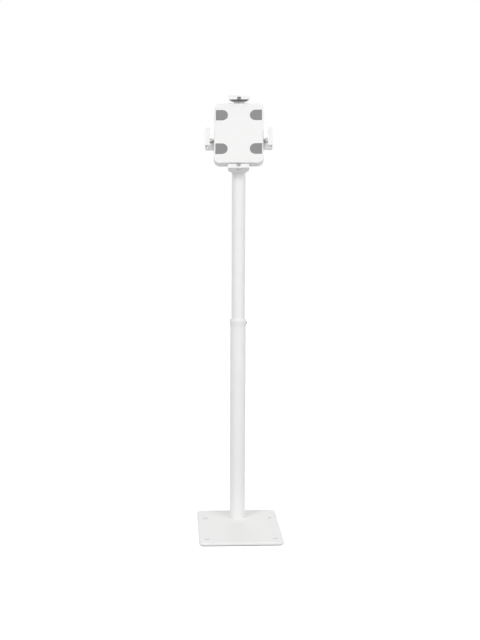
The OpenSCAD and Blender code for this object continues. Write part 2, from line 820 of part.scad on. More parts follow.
module front_plate() {
    color(white_plastic) on_head() difference() {
        union() {
            difference() {
                translate([0, 0, split_w])
                    soft_slab(housing_w, housing_h, front_depth, housing_corner_r, housing_edge_r);
                extrude_z(split_w - eps, inner_face_w) rounded_rect(inner_w, inner_h, inner_r);
            }
            keeper_ribs();
            boss_places() translate([0, 0, split_w]) cylinder(r = boss_r, h = inner_face_w - split_w + eps);
        }
        boss_places() translate([0, 0, split_w - eps])
            cylinder(r = screw_d / 2 + seat_gap, h = housing_tip_w - split_w + 1);
        for (side = [-1, 1], v = [grip_up, -grip_down]) grip_at(side, v)
            linear_extrude(grip_t) grip_outline(seat_gap);
    }
}

module housing_screws() {
    color(bright_steel) on_head() boss_places() translate([0, 0, back_offset + 0.2]) difference() {
        union() {
            cylinder(r = housing_head_r, h = housing_head_h - 0.2);
            cylinder(d = screw_d, h = housing_tip_w - back_offset - 0.2);
        }
        translate([0, 0, -eps]) cylinder(d = screw_d * 0.8, h = 1 + eps, $fn = 6);
    }
}

module grip(side, v) {
    color(grey_rubber) on_head() grip_at(side, v) linear_extrude(grip_t) grip_outline(0);
}

module upper_left_grip() { grip(-1, grip_up); }

module upper_right_grip() { grip(1, grip_up); }

module lower_left_grip() { grip(-1, -grip_down); }

module lower_right_grip() { grip(1, -grip_down); }

// Side arms: two racks and the pinion between them

function involute(a) = tan(a) * 180 / PI - a;
function tooth_half(r) =
    90 / pinion_teeth - backlash / pitch_r * 180 / PI
    + involute(pressure) - involute(acos(min(1, tooth_base_r / r)));
function on_circle(r, a) = [r * cos(a), r * sin(a)];

module side_pinion() {
    flank = [root_r, tooth_base_r, pitch_r, tip_r];
    step = 360 / pinion_teeth;
    points = [for (i = [0:pinion_teeth - 1], k = [0:7])
        k < 4 ? on_circle(flank[k], 90 + i * step - tooth_half(max(flank[k], tooth_base_r)))
              : on_circle(flank[7 - k], 90 + i * step + tooth_half(max(flank[7 - k], tooth_base_r)))];
    color(natural_nylon) on_head() translate([0, pinion_v, 0]) difference() {
        extrude_z(pinion_w0, pinion_w1) polygon(points);
        translate([0, 0, pinion_w0 - eps])
            cylinder(r = post_d / 2 + run_gap, h = pinion_w1 - pinion_w0 + 2 * eps);
    }
}

module pinion_post() {
    color(bright_steel) on_head() translate([0, pinion_v, 0]) {
        translate([0, 0, back_offset + 1]) cylinder(d = post_d, h = post_head_w - back_offset - 1);
        translate([0, 0, post_head_w]) cylinder(r = post_d / 2 + 2, h = post_head_h);
    }
}

module pinion_washer() {
    color(bright_steel) on_head() translate([0, pinion_v, post_washer_w])
        ring(pinion_washer_r, post_d / 2 + seat_gap, pinion_washer_t);
}

// One rack tooth that points down from the pitch line
module rack_tooth() {
    lean = tan(pressure);
    half = tooth_pitch / 4 - backlash / 2;
    polygon([[-half - lean * dedendum, dedendum + eps], [-half - lean * dedendum, dedendum],
             [-half + lean * addendum, -addendum], [half - lean * addendum, -addendum],
             [half + lean * dedendum, dedendum], [half + lean * dedendum, dedendum + eps]]);
}

// Flat strip of one arm, drawn for the left one: the window's edge on the rack's side has the teeth
module arm_strip(rack_side) {
    difference() {
        translate([-arm_end, -arm_bottom]) square([arm_end + strip_end, arm_h]);
        translate([0, pinion_v]) mirror([0, rack_side < 0 ? 1 : 0])
            translate([-window_out, -tip_r - 0.7])
                square([window_out + window_in, tip_r + 0.7 + pitch_r + dedendum]);
    }
    translate([0, pinion_v]) mirror([0, rack_side < 0 ? 1 : 0])
        for (k = [ceil(-window_out / tooth_pitch - 0.5):floor(window_in / tooth_pitch - 0.5)])
            translate([(k + 0.5) * tooth_pitch, pitch_r]) rack_tooth();
}

// One arm, drawn for the left side, at its own level
module arm(rack_side, strip_w, bar_w) {
    difference() {
        union() {
            extrude_z(strip_w, strip_w + strip_t) arm_strip(rack_side);
            extrude_x(-arm_end, -bar_end)
                corner_rect([-arm_bottom, bar_w], [bar_top_v, bar_top_w], [0, 0, bar_round, bar_round]);
            translate([-arm_end, -arm_bottom, strip_w])
                cube([arm_end - join_end, bar_h, bar_top_w - bar_round - strip_w]);
            translate([-arm_end, band_bottom_v, strip_w])
                cube([arm_end - join_end, arm_top - band_bottom_v, band_w - strip_w]);
            translate([-arm_end, -arm_bottom, left_strip_w])
                cube([block_len, arm_h, bar_top_w - left_strip_w]);
        }
        claw_screw_places() countersunk_hole(claw_screw_len);
    }
}

module left_arm() {
    color(white_paint) on_head() arm(1, left_strip_w, left_bar_w);
}

module right_arm() {
    color(white_paint) on_head() mirror([1, 0, 0]) arm(-1, right_strip_w, right_strip_w + strip_t);
}

// Side claws

// The claw screws' heads lie flush in the claw's outer face
module claw_screw_places() {
    for (v = claw_screw_vs) translate([-claw_u, v, claw_screw_w]) rotate([0, -90, 0]) children();
}

// Drawn for the left side
module side_claw() {
    v0 = side_claw_v0;
    v1 = v0 + side_claw_h;
    difference() {
        union() {
            extrude_x(-claw_u, claw_t - claw_u)
                corner_rect([v0, claw_rear_w], [v1, claw_front], [3, claw_rear_r, 3, 3]);
            extrude_z(lip_w, claw_front)
                corner_rect([-claw_u, v0], [side_lip - claw_u, v1], [3, 4, 4, 3]);
        }
        claw_screw_places() countersunk_hole(claw_screw_len);
    }
}

module side_lining() {
    extrude_x(claw_t - claw_u, claw_t - claw_u + lining_t)
        corner_rect([side_claw_v0 + side_lining_inset, side_lining_w0],
                    [side_claw_v0 + side_claw_h - side_lining_inset, lip_w - lining_margin], [2, 2, 2, 2]);
}

module left_claw() {
    color(white_plastic) on_head() side_claw();
}

module right_claw() {
    color(white_plastic) on_head() mirror([1, 0, 0]) side_claw();
}

module left_claw_lining() {
    color(grey_rubber) on_head() side_lining();
}

module right_claw_lining() {
    color(grey_rubber) on_head() mirror([1, 0, 0]) side_lining();
}

module left_claw_screws() {
    color(bright_steel) on_head() claw_screw_places() countersunk_screw(claw_screw_len);
}

module right_claw_screws() {
    color(bright_steel) on_head() mirror([1, 0, 0]) claw_screw_places() countersunk_screw(claw_screw_len);
}

// Top and bottom claws, drawn with the shelf's inner face at y = 0 and the outer face above it

module shelf_screw_places() {
    for (u = [-shelf_screw_u, shelf_screw_u])
        translate([u, claw_t, shelf_screw_w]) rotate([-90, 0, 0]) children();
}

module port_cut(y0, y1) {
    extrude_y(y0, y1) translate([-port_w / 2, port_w0]) square([port_w, port_d]);
}

module end_claw() {
    difference() {
        union() {
            extrude_y(0, claw_t) corner_rect([-end_claw_w / 2, shelf_rear_w], [end_claw_w / 2, claw_front],
                                             [shelf_rear_r, shelf_rear_r, 3, 3]);
            extrude_z(lip_w, claw_front) corner_rect([-end_claw_w / 2, claw_t - end_lip],
                                                     [end_claw_w / 2, claw_t], [4, 4, 3, 3]);
        }
        extrude_z(lip_w - eps, claw_front + eps)
            translate([-notch_w / 2, claw_t - end_lip - eps]) square([notch_w, notch_h + eps]);
        port_cut(-eps, claw_t + eps);
        translate([-slider_w / 2 - seat_gap, -eps, shelf_rear_w - eps])
            cube([slider_w + 2 * seat_gap, slider_flange_t + eps, flange_len + seat_gap + eps]);
        shelf_screw_places() countersunk_hole(shelf_screw_len);
    }
}

// Pad over the shelf and the strip's flange
module end_lining() {
    difference() {
        extrude_y(-lining_t, 0)
            corner_rect([-end_lining_u, end_lining_w0], [end_lining_u, lip_w - lining_margin],
                        [end_lining_r, end_lining_r, 2, 2]);
        port_cut(-lining_t - eps, eps);
    }
}

// Bent steel strip with a flange let into the claw's shelf; its other end lies reach below the inner face
module claw_strip(reach) {
    difference() {
        union() {
            translate([-slider_w / 2, -reach, slider_w0]) cube([slider_w, reach + slider_flange_t, slider_t]);
            translate([-slider_w / 2, 0, slider_w0]) cube([slider_w, slider_flange_t, flange_len]);
        }
        shelf_screw_places() countersunk_hole(shelf_screw_len);
    }
}

module top_place() {
    on_head() translate([0, top_inner_v, 0]) children();
}

module bottom_place() {
    on_head() translate([0, -bottom_inner_v, 0]) mirror([0, 1, 0]) children();
}

module top_slider() {
    color(white_paint) top_place() claw_strip(top_inner_v - slider_low);
}

module top_claw() {
    color(white_plastic) top_place() end_claw();
}

module top_claw_lining() {
    color(grey_rubber) top_place() end_lining();
}

module top_claw_screws() {
    color(white_paint) top_place() shelf_screw_places() countersunk_screw(shelf_screw_len);
}

module bottom_bracket() {
    color(white_paint) difference() {
        bottom_place() claw_strip(bottom_inner_v - bracket_top);
        on_head() for (v = bracket_screw_vs) translate([0, v, slider_w1]) countersunk_hole(bracket_screw_len);
    }
}

module bottom_claw() {
    color(white_plastic) bottom_place() end_claw();
}

module bottom_claw_lining() {
    color(grey_rubber) bottom_place() end_lining();
}

module bottom_claw_screws() {
    color(white_paint) bottom_place() shelf_screw_places() countersunk_screw(shelf_screw_len);
}

module bracket_screws() {
    color(bright_steel) on_head() for (v = bracket_screw_vs)
        translate([0, v, slider_w1]) countersunk_screw(bracket_screw_len);
}

// Lock of the top claw

module lock_insert() {
    color(brass) on_head() translate([0, lock_v, insert_w0])
        ring(insert_r, lock_screw_d / 2 + run_gap, insert_w1 - insert_w0);
}

module brake_shoe() {
    color(natural_nylon) on_head() translate([0, lock_v, shoe_w0])
        cylinder(r = lock_boss_r - 0.5, h = shoe_w1 - shoe_w0);
}

module lock_screw() {
    grips = 12;
    color(bright_steel) on_head() translate([0, lock_v, 0]) difference() {
        union() {
            translate([0, 0, lock_head_w]) cylinder(d = lock_head_d, h = lock_head_h);
            translate([0, 0, lock_head_w]) cylinder(d = lock_screw_d, h = lock_tip_w - lock_head_w);
        }
        for (i = [0:grips - 1]) rotate(i * 360 / grips)
            translate([lock_head_d / 2 + 0.4, 0, lock_head_w - eps])
                cylinder(r = 1, h = lock_head_h + 2 * eps);
        translate([0, 0, lock_head_w - eps]) cylinder(d = 0.7 * lock_screw_d, h = 2.5 + eps, $fn = 6);
    }
}

base_plate();
base_mat();
base_bolt();
base_washer();
foot_plug();
lower_tube();
guide_bush();
tube_collar();
clamp_shoe();
height_screw();
upper_tube();
tube_end_guide();
yoke();
yoke_rivets();
tilt_bolt();
tilt_nut();
friction_washers();
tilt_knuckle();
swivel_washer();
hub_retainer();
retainer_screws();
rear_cover();
front_plate();
housing_screws();
upper_left_grip();
upper_right_grip();
lower_left_grip();
lower_right_grip();
pinion_post();
pinion_washer();
side_pinion();
left_arm();
right_arm();
left_claw();
right_claw();
left_claw_lining();
right_claw_lining();
left_claw_screws();
right_claw_screws();
top_slider();
top_claw();
top_claw_lining();
top_claw_screws();
bottom_bracket();
bottom_claw();
bottom_claw_lining();
bottom_claw_screws();
bracket_screws();
lock_insert();
brake_shoe();
lock_screw();
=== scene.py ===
import json
import math

import bmesh
import bpy
from mathutils import Matrix, Vector


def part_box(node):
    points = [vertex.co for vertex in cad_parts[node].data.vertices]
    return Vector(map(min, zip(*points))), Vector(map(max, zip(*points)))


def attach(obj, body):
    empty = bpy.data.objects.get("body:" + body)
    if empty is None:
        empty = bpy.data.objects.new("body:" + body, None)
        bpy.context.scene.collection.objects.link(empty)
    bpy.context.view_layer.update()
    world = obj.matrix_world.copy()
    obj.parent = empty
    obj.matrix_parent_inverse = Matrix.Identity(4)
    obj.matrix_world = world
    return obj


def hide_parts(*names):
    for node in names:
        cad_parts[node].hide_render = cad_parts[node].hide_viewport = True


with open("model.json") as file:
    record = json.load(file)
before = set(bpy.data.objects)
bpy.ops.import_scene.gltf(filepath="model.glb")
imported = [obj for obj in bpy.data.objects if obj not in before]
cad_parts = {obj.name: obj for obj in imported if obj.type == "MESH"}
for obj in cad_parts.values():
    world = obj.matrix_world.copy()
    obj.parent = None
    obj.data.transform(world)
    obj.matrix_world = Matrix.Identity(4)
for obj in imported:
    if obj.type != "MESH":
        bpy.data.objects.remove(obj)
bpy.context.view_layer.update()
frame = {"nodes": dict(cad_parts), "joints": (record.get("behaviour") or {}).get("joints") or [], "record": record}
scene = bpy.context.scene
scene.view_settings.view_transform = "Standard"


# Camera
# It stands some 2.5 m in front of the stand and a little to its left, at the height of the upper
# tube, and looks slightly down through a normal lens.
CAMERA_PLACE = Vector((-0.1806, -2.3537, 1.0246))
CAMERA_VIEW = Vector((0.02196, 0.98754, -0.15584))
CAMERA_ROLL = -0.0038
CAMERA_LENS = 45.37
CAMERA_SENSOR = 36
CAMERA_SHIFT = 0.0681


def aimed(place, view):
    """Matrix of a camera or lamp at a place that looks along a view."""
    return Matrix.Translation(place) @ view.to_track_quat("-Z", "Y").to_matrix().to_4x4()


camera_data = bpy.data.cameras.new("camera")
camera_data.lens = CAMERA_LENS
camera_data.sensor_width = CAMERA_SENSOR
camera_data.shift_x = CAMERA_SHIFT
camera = bpy.data.objects.new("camera", camera_data)
scene.collection.objects.link(camera)
camera.matrix_world = aimed(CAMERA_PLACE, CAMERA_VIEW) @ Matrix.Rotation(CAMERA_ROLL, 4, "Z")
scene.camera = camera


# Studio
# A white room, brighter above, lights the stand from all round. Wide soft lamps on either side of
# the camera model the tubes, one near it fills the hollows, and one behind, which leaves no glare
# on the base, lights the back. The pale floor reads white and keeps the shadow.
ROOM_LIGHT = 0.28
ROOM_RISE = 0.38
LAMP_TARGET = Vector((0, 0, 0.75))
LAMP_PLACE = Vector((2.6, -2.6, 2.65))
LAMP_SIZE = 1.2
LAMP_POWER = 49
FILL_PLACE = Vector((0.05, -4, 1.6))
FILL_SIZE = 1.8
FILL_POWER = 17
BACK_PLACE = Vector((0.05, 4, 1.3))
BACK_POWER = 24
FLOOR_RADIUS = 9
FLOOR_SIDES = 96
FLOOR_GREY = (0.6, 0.6, 0.6, 1)
FLOOR_GLOW = 0.69


class Value:
    """A number, colour or vector on a surface: sums on it add Math nodes to its tree."""

    def __init__(self, finish, socket):
        self.finish = finish
        self.socket = socket

    def math(self, operation, other):
        return self.finish.node("ShaderNodeMath", {"operation": operation}, {0: self, 1: other})

    def __add__(self, other):
        return self.math("ADD", other)

    def __mul__(self, other):
        return self.math("MULTIPLY", other)

    __radd__ = __add__
    __rmul__ = __mul__


class Finish:
    """The nodes of one material, or of the world."""

    def __init__(self, owner):
        owner.use_nodes = True
        self.owner = owner
        self.tree = owner.node_tree
        self.tree.nodes.clear()

    def node(self, kind, settings=None, sockets=None, output=0):
        """Adds a node with its settings and inputs, and gives one of its outputs."""
        added = self.tree.nodes.new(kind)
        for name, setting in (settings or {}).items():
            setattr(added, name, setting)
        for name, value in (sockets or {}).items():
            if isinstance(value, Value):
                self.tree.links.new(value.socket, added.inputs[name])
            else:
                added.inputs[name].default_value = value
        return Value(self, added.outputs[output]) if len(added.outputs) else None

    def ray(self, kind):
        """1 on rays of a kind."""
        return self.node("ShaderNodeLightPath", output=kind)

    def seen(self):
        """1 on rays that show the background: to the camera, by reflection or through glass."""
        direct = self.ray("Is Camera Ray")
        rays = direct + self.ray("Is Glossy Ray") + self.ray("Is Transmission Ray")
        return self.node("ShaderNodeMath", {"operation": "MINIMUM"}, {0: rays, 1: 1.0})


room = Finish(bpy.data.worlds.new("room"))
scene.world = room.owner
room_way = room.node("ShaderNodeTexCoord", output="Generated")
room_height = room.node("ShaderNodeSeparateXYZ", sockets={0: room_way}, output="Z")
room_light = room.node("ShaderNodeBackground", sockets={
    "Color": (1, 1, 1, 1), "Strength": ROOM_LIGHT + ROOM_RISE * room_height})
room_white = room.node("ShaderNodeBackground", sockets={"Color": (1, 1, 1, 1), "Strength": 1.0})
room_mix = room.node("ShaderNodeMixShader", sockets={0: room.seen(), 1: room_light, 2: room_white})
room.node("ShaderNodeOutputWorld", sockets={"Surface": room_mix})


def soft_lamp(name, place, size, power):
    """Square lamp at a place, turned to the middle of the stand."""
    data = bpy.data.lights.new(name, "AREA")
    data.size = size
    data.energy = power
    lamp = bpy.data.objects.new(name, data)
    scene.collection.objects.link(lamp)
    lamp.matrix_world = aimed(place, LAMP_TARGET - place)
    return lamp


soft_lamp("right_lamp", LAMP_PLACE, LAMP_SIZE, LAMP_POWER)
soft_lamp("left_lamp", LAMP_PLACE * Vector((-1, 1, 1)), LAMP_SIZE, LAMP_POWER)
soft_lamp("fill_lamp", FILL_PLACE, FILL_SIZE, FILL_POWER)
soft_lamp("back_lamp", BACK_PLACE, FILL_SIZE, BACK_POWER).visible_glossy = False

floor_bm = bmesh.new()
bmesh.ops.create_circle(floor_bm, cap_ends=True, segments=FLOOR_SIDES, radius=FLOOR_RADIUS)
floor_mesh = bpy.data.meshes.new("floor")
floor_bm.to_mesh(floor_mesh)
floor_bm.free()
floor = bpy.data.objects.new("floor", floor_mesh)
scene.collection.objects.link(floor)
floor_finish = Finish(bpy.data.materials.new("pale_floor"))
floor_matt = floor_finish.node("ShaderNodeBsdfDiffuse", sockets={"Color": FLOOR_GREY})
floor_glow = floor_finish.node("ShaderNodeEmission", sockets={
    "Strength": floor_finish.seen() * FLOOR_GLOW})
floor_sum = floor_finish.node("ShaderNodeAddShader", sockets={0: floor_matt, 1: floor_glow})
floor_finish.node("ShaderNodeOutputMaterial", sockets={"Surface": floor_sum})
floor.data.materials.append(floor_finish.owner)


# Base plate
# A square of 8 mm steel with a generously rounded upper edge, countersunk for four floor screws,
# counterbored from below for the column's bolt, and powder coated in satin white. Painted shade
# darkens the countersinks to grey.
BASE_CORNER = 0.014
BASE_EDGE = 0.004
BASE_BURR = 0.0005
SINK_DEPTH = 0.004
BORE_R = 0.0105
BORE_TOP = 0.0035
BOLT_R = 0.00504
COAT_LIGHT = (0.935, 0.935, 0.928, 1)
COAT_SHADE = (0.905, 0.905, 0.899, 1)
# Painted shade in the floor-screw countersinks: its grey, its reach from each hole and its fade.
HOLE_PAINTED_SHADE = (0.74, 0.74, 0.73, 1)
HOLE_SHADE_REACH = 0.0078
HOLE_SHADE_FADE = 0.0012
ROUND_STEPS = 6
TURN_STEPS = 96
BORE_STEPS = 48
TINY = 2e-6
SPECK = 2e-5


def noise(finish, scale, detail=2.0, stretch=(1, 1, 1)):
    """Cloudy pattern on a piece, in cells of about 1/scale metres."""
    place = finish.node("ShaderNodeTexCoord", output="Object")
    spread = finish.node("ShaderNodeMapping", sockets={"Vector": place, "Scale": stretch})
    return finish.node("ShaderNodeTexNoise", sockets={
        "Vector": spread, "Scale": scale, "Detail": detail})


def between(finish, factor, low, high):
    """Colour that goes from low to high as the factor goes from 0 to 1."""
    return finish.node("ShaderNodeMix", {"data_type": "RGBA"}, {0: factor, 6: low, 7: high},
                       output=2)


def skin(finish, height, depth, strength=0.5):
    """Normal of a surface with relief of that depth in metres."""
    return finish.node("ShaderNodeBump", sockets={
        "Height": height, "Strength": strength, "Distance": depth})


def principled(finish, sockets):
    """Closes a finish with its shader."""
    shader = finish.node("ShaderNodeBsdfPrincipled", sockets=sockets)
    finish.node("ShaderNodeOutputMaterial", sockets={"Surface": shader})
    return finish


def with_painted_hole_shade(finish, colour, middle, hole):
    """The colour with painted shade, a darker grey, in four like holes round a middle, one at hole from it."""
    place = finish.node("ShaderNodeTexCoord", output="Object")
    centred = finish.node("ShaderNodeVectorMath", {"operation": "SUBTRACT"}, {0: place, 1: middle})
    folded = finish.node("ShaderNodeVectorMath", {"operation": "ABSOLUTE"}, {0: centred})
    away = finish.node("ShaderNodeVectorMath", {"operation": "DISTANCE"}, {0: folded, 1: hole},
                       output="Value")
    inside = finish.node("ShaderNodeMapRange", sockets={
        "Value": away, "From Min": HOLE_SHADE_REACH, "From Max": HOLE_SHADE_REACH - HOLE_SHADE_FADE})
    return between(finish, inside, colour, HOLE_PAINTED_SHADE)


def powder_coat(name, holes=None):
    """Satin powder coat: slight clouds in the white and a fine orange peel."""
    finish = Finish(bpy.data.materials.new(name))
    cloud = noise(finish, scale=11, detail=3)
    peel = noise(finish, scale=900, detail=2)
    colour = between(finish, cloud, COAT_SHADE, COAT_LIGHT)
    return principled(finish, {
        # With holes given, the countersinks are darkened to grey as painted shade.
        "Base Color": with_painted_hole_shade(finish, colour, *holes) if holes else colour,
        "Roughness": 0.33 + 0.12 * cloud + 0.06 * peel,
        "Normal": skin(finish, peel, depth=0.00006),
        "Specular IOR Level": 0.45,
    })


def block(one, other):
    """Plain block between two opposite corners."""
    low = Vector([min(pair) for pair in zip(one, other)])
    high = Vector([max(pair) for pair in zip(one, other)])
    bm = bmesh.new()
    bmesh.ops.create_cube(bm, size=1)
    bmesh.ops.scale(bm, vec=high - low, verts=bm.verts)
    bmesh.ops.translate(bm, vec=(low + high) / 2, verts=bm.verts)
    return bm


def round_edges(bm, edges, radius, steps=ROUND_STEPS):
    """Rounds some edges of a bmesh."""
    bmesh.ops.bevel(bm, geom=edges, offset=radius, offset_type="OFFSET", segments=steps,
                    profile=0.5, affect="EDGES", material=-1)


def edges_along(bm, axis, keep=lambda m: True):
    """Edges that run along an axis and whose middle is kept."""
    across = [k for k in range(3) if k != axis]
    return [e for e in bm.edges
            if all(abs(e.verts[0].co[k] - e.verts[1].co[k]) < TINY for k in across)
            and keep((e.verts[0].co + e.verts[1].co) / 2)]


def edges_at(bm, axis, level):
    """Edges that lie in the plane at a level on an axis."""
    return [e for e in bm.edges if all(abs(v.co[axis] - level) < TINY for v in e.verts)]


def slab(low, high, radius, axis=2):
    """Block whose four edges along an axis are rounded."""
    bm = block(low, high)
    round_edges(bm, edges_along(bm, axis), radius, 2 * ROUND_STEPS)
    return bm


def turned(outline, rims=(), steps=TURN_STEPS):
    """Body turned about Z from points (radius, height), with some rims rounded.

    A rim is given as (radius, height, size).
    """
    bm = bmesh.new()
    points = [bm.verts.new((radius, 0, height)) for radius, height in outline]
    hollow = outline[0][0] > 0
    ends = points[1:] + points[:1] if hollow else points[1:]
    lines = [bm.edges.new(pair) for pair in zip(points, ends)]
    bmesh.ops.spin(bm, geom=points + lines, cent=(0, 0, 0), axis=(0, 0, 1), angle=2 * math.pi,
                   steps=steps, use_merge=True)
    bmesh.ops.remove_doubles(bm, verts=bm.verts, dist=TINY)
    for radius, height, size in rims:
        rim = [e for e in edges_at(bm, 2, height)
               if all(abs(v.co.xy.length - radius) < TINY for v in e.verts)]
        round_edges(bm, rim, size)
    bmesh.ops.recalc_face_normals(bm, faces=bm.faces)
    return bm


def placed(bm, matrix):
    """Moves a bmesh to its place."""
    bmesh.ops.transform(bm, matrix=matrix, verts=bm.verts)
    return bm


def solid(name, bm):
    """Object made of a closed bmesh, with its faces turned outwards."""
    bmesh.ops.recalc_face_normals(bm, faces=bm.faces)
    mesh = bpy.data.meshes.new(name)
    bm.to_mesh(mesh)
    bm.free()
    made = bpy.data.objects.new(name, mesh)
    scene.collection.objects.link(made)
    return made


def combine(piece, bm, operation):
    """Cuts a bmesh out of a piece, joins it on or keeps what they share."""
    tool = solid("tool", bm)
    modifier = piece.modifiers.new("combine", "BOOLEAN")
    modifier.operation = operation
    modifier.solver = "EXACT"
    modifier.object = tool
    bpy.context.view_layer.update()
    whole = piece.evaluated_get(bpy.context.evaluated_depsgraph_get())
    mesh = bpy.data.meshes.new_from_object(whole)
    piece.modifiers.remove(modifier)
    piece.data = mesh
    bpy.data.objects.remove(tool)


def cut(piece, *shapes):
    """Cuts shapes out of a piece."""
    for bm in shapes:
        combine(piece, bm, "DIFFERENCE")


def clean(piece):
    """Merges the specks that cuts leave, so that roundings come out even."""
    bm = bmesh.new()
    bm.from_mesh(piece.data)
    bmesh.ops.remove_doubles(bm, verts=bm.verts, dist=SPECK)
    bmesh.ops.dissolve_degenerate(bm, edges=bm.edges, dist=SPECK)
    bm.to_mesh(piece.data)
    bm.free()


def dress(piece, finish, slot, body, *nodes, crease=180):
    """Gives a piece its finish and its body, in place of its nodes."""
    clean(piece)
    piece.data.materials.clear()
    piece.data.materials.append(finish.owner)
    piece.data.shade_smooth()
    if crease < 180:
        piece.data.set_sharp_from_angle(angle=math.radians(crease))
    even = piece.modifiers.new("even_shading", "WEIGHTED_NORMAL")
    even.weight = 100
    even.keep_sharp = True
    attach(piece, body)
    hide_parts(*nodes)


paint = powder_coat("white_powder_coat")
plate_low, plate_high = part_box("base_plate")
column_low, column_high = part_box("lower_tube")
column_place = Matrix.Translation(((column_low + column_high) / 2).xy.to_3d())
bolts = next(m for m in frame["record"]["mounts"] if m["name"] == "floor_bolts")
bolt_r = bolts["dims"]["hole_r_mm"] / 1000
sink_r = bolt_r + SINK_DEPTH
hole_middle = (bolts["pos_m"][0], bolts["pos_m"][1], plate_high.z)
first_hole = (bolts["dims"]["spacing_x_mm"] / 2000, bolts["dims"]["spacing_y_mm"] / 2000, 0)
bolt_places = [
    Matrix.Translation((hole_middle[0] + x * first_hole[0], hole_middle[1] + y * first_hole[1], 0))
    for x in (-1, 1) for y in (-1, 1)]

plate_bm = slab(plate_low, plate_high, BASE_CORNER)
round_edges(plate_bm, edges_at(plate_bm, 2, plate_high.z), BASE_EDGE)
round_edges(plate_bm, edges_at(plate_bm, 2, plate_low.z), BASE_BURR, 2)
base_plate = solid("painted_base_plate", plate_bm)
for bolt_place in bolt_places:
    cut(base_plate, placed(turned([
        (0, 0), (bolt_r, 0), (bolt_r, plate_high.z - SINK_DEPTH), (sink_r, plate_high.z),
        (sink_r, 2 * plate_high.z), (0, 2 * plate_high.z)], steps=BORE_STEPS), bolt_place))
cut(base_plate, placed(turned([
    (0, 0), (BORE_R, 0), (BORE_R, plate_high.z - BORE_TOP), (BOLT_R, plate_high.z - BORE_TOP),
    (BOLT_R, 2 * plate_high.z), (0, 2 * plate_high.z)], steps=BORE_STEPS), column_place))
# This coat carries the painted shade in the countersinks.
base_coat = powder_coat("white_base_coat", (hole_middle, first_hole))
dress(base_plate, base_coat, "white_paint", "base", "base_plate", crease=35)


# Base mat
# A 3 mm sheet of black rubber, glued under the plate a little inside its edge, keeps the steel off
# the floor. Its black is partly painted shade: it shows as a dark line under the white plate,
# standing for the shadow in the gap beneath the plate's edge.
MAT_CORNER = 0.011
MAT_HOLE_R = 0.006
MAT_BORE_R = 0.014
MAT_SOFT = 0.0004
SOFT_ANGLE = math.radians(32)
# The mat's black also stands for the shadow under the plate's edge: painted shade.
MAT_DARK = (0.028, 0.028, 0.029, 1)
MAT_WORN = (0.06, 0.06, 0.061, 1)


def black_rubber_and_shade():
    """Matt black rubber, greyed in places by dust; its black also serves as painted shade."""
    finish = Finish(bpy.data.materials.new("black_mat_rubber_and_shade"))
    dust = noise(finish, scale=60, detail=4)
    grain = noise(finish, scale=1500, detail=2)
    return principled(finish, {
        "Base Color": between(finish, dust * 0.7 + grain * 0.3, MAT_DARK, MAT_WORN),
        "Roughness": 0.72 + 0.2 * dust,
        "Normal": skin(finish, grain, depth=0.0001),
    })


def bar(radius, low, high, steps=BORE_STEPS):
    """Round bar about Z between two heights."""
    return turned([(0, low), (radius, low), (radius, high), (0, high)], steps=steps)


def soften(piece, size, steps=3):
    """Small rounding on every sharp edge."""
    bevel = piece.modifiers.new("soften", "BEVEL")
    bevel.width = size
    bevel.segments = steps
    bevel.limit_method = "ANGLE"
    bevel.angle_limit = SOFT_ANGLE
    bevel.harden_normals = True


mat_low, mat_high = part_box("base_mat")
base_mat = solid("rubber_base_mat", slab(mat_low, mat_high, MAT_CORNER))
for bolt_place in bolt_places:
    cut(base_mat, placed(bar(MAT_HOLE_R, -1, 1), bolt_place))
cut(base_mat, placed(bar(MAT_BORE_R, -1, 1), column_place))
soften(base_mat, MAT_SOFT, 2)
dress(base_mat, black_rubber_and_shade(), "dark_rubber", "base", "base_mat")


# Base bolt, washer and foot plug
# Zinc-plated steel: the bolt comes up through the plate from below and screws into the plug that
# is pressed into the foot of the lower tube.
ZINC_LIGHT = (0.66, 0.67, 0.68, 1)
ZINC_SHADE = (0.5, 0.51, 0.53, 1)


def zinc_plate():
    """Zinc-plated steel: a faint spangle and fine scratches."""
    finish = Finish(bpy.data.materials.new("bright_zinc_steel"))
    spangle = noise(finish, scale=260, detail=3)
    scratch = noise(finish, scale=420, detail=2, stretch=(1, 1, 9))
    return principled(finish, {
        "Base Color": between(finish, spangle, ZINC_SHADE, ZINC_LIGHT),
        "Metallic": 1.0,
        "Roughness": 0.24 + 0.14 * spangle + 0.08 * scratch,
        "Normal": skin(finish, scratch, depth=0.00002, strength=0.3),
    })


def refinish(finish, *nodes):
    """Puts a finish on CAD nodes that show as they are."""
    for name in nodes:
        mesh = frame["nodes"][name].data
        mesh.materials.clear()
        mesh.materials.append(finish.owner)


zinc = zinc_plate()
refinish(zinc, "base_bolt", "base_washer", "foot_plug")


# Lower tube
# A welded steel tube of 48 mm with a 2 mm wall, powder coated. It stands on the plate, and the
# height screw passes through a hole under its collar.
LOWER_WALL = 0.002
TUBE_RIM = 0.0006
SCREW_HOLE_R = 0.00256
SMALL_STEPS = 32
SIDEWAYS = Matrix.Rotation(math.pi / 2, 4, "Y")


def tube(node, wall):
    """Upright tube in a node's place, with the rims of its outside rounded."""
    low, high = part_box(node)
    outer = (high.x - low.x) / 2
    inner = outer - wall
    return placed(turned([(inner, low.z), (outer, low.z), (outer, high.z), (inner, high.z)],
                         [(outer, low.z, TUBE_RIM), (outer, high.z, TUBE_RIM)]), column_place)


def joint(name):
    """Row of a joint in the frame."""
    return next(j for j in frame["joints"] if j["name"] == name)


screw_point = joint("height_screw_turn")["pos_m"]
screw_level = Matrix.Translation((0, screw_point[1], screw_point[2]))
screw_place = screw_level @ SIDEWAYS


def screw_path():
    """Tool for the height screw's hole, to the right of the column."""
    return placed(bar(SCREW_HOLE_R, 0, 1, SMALL_STEPS), screw_place)


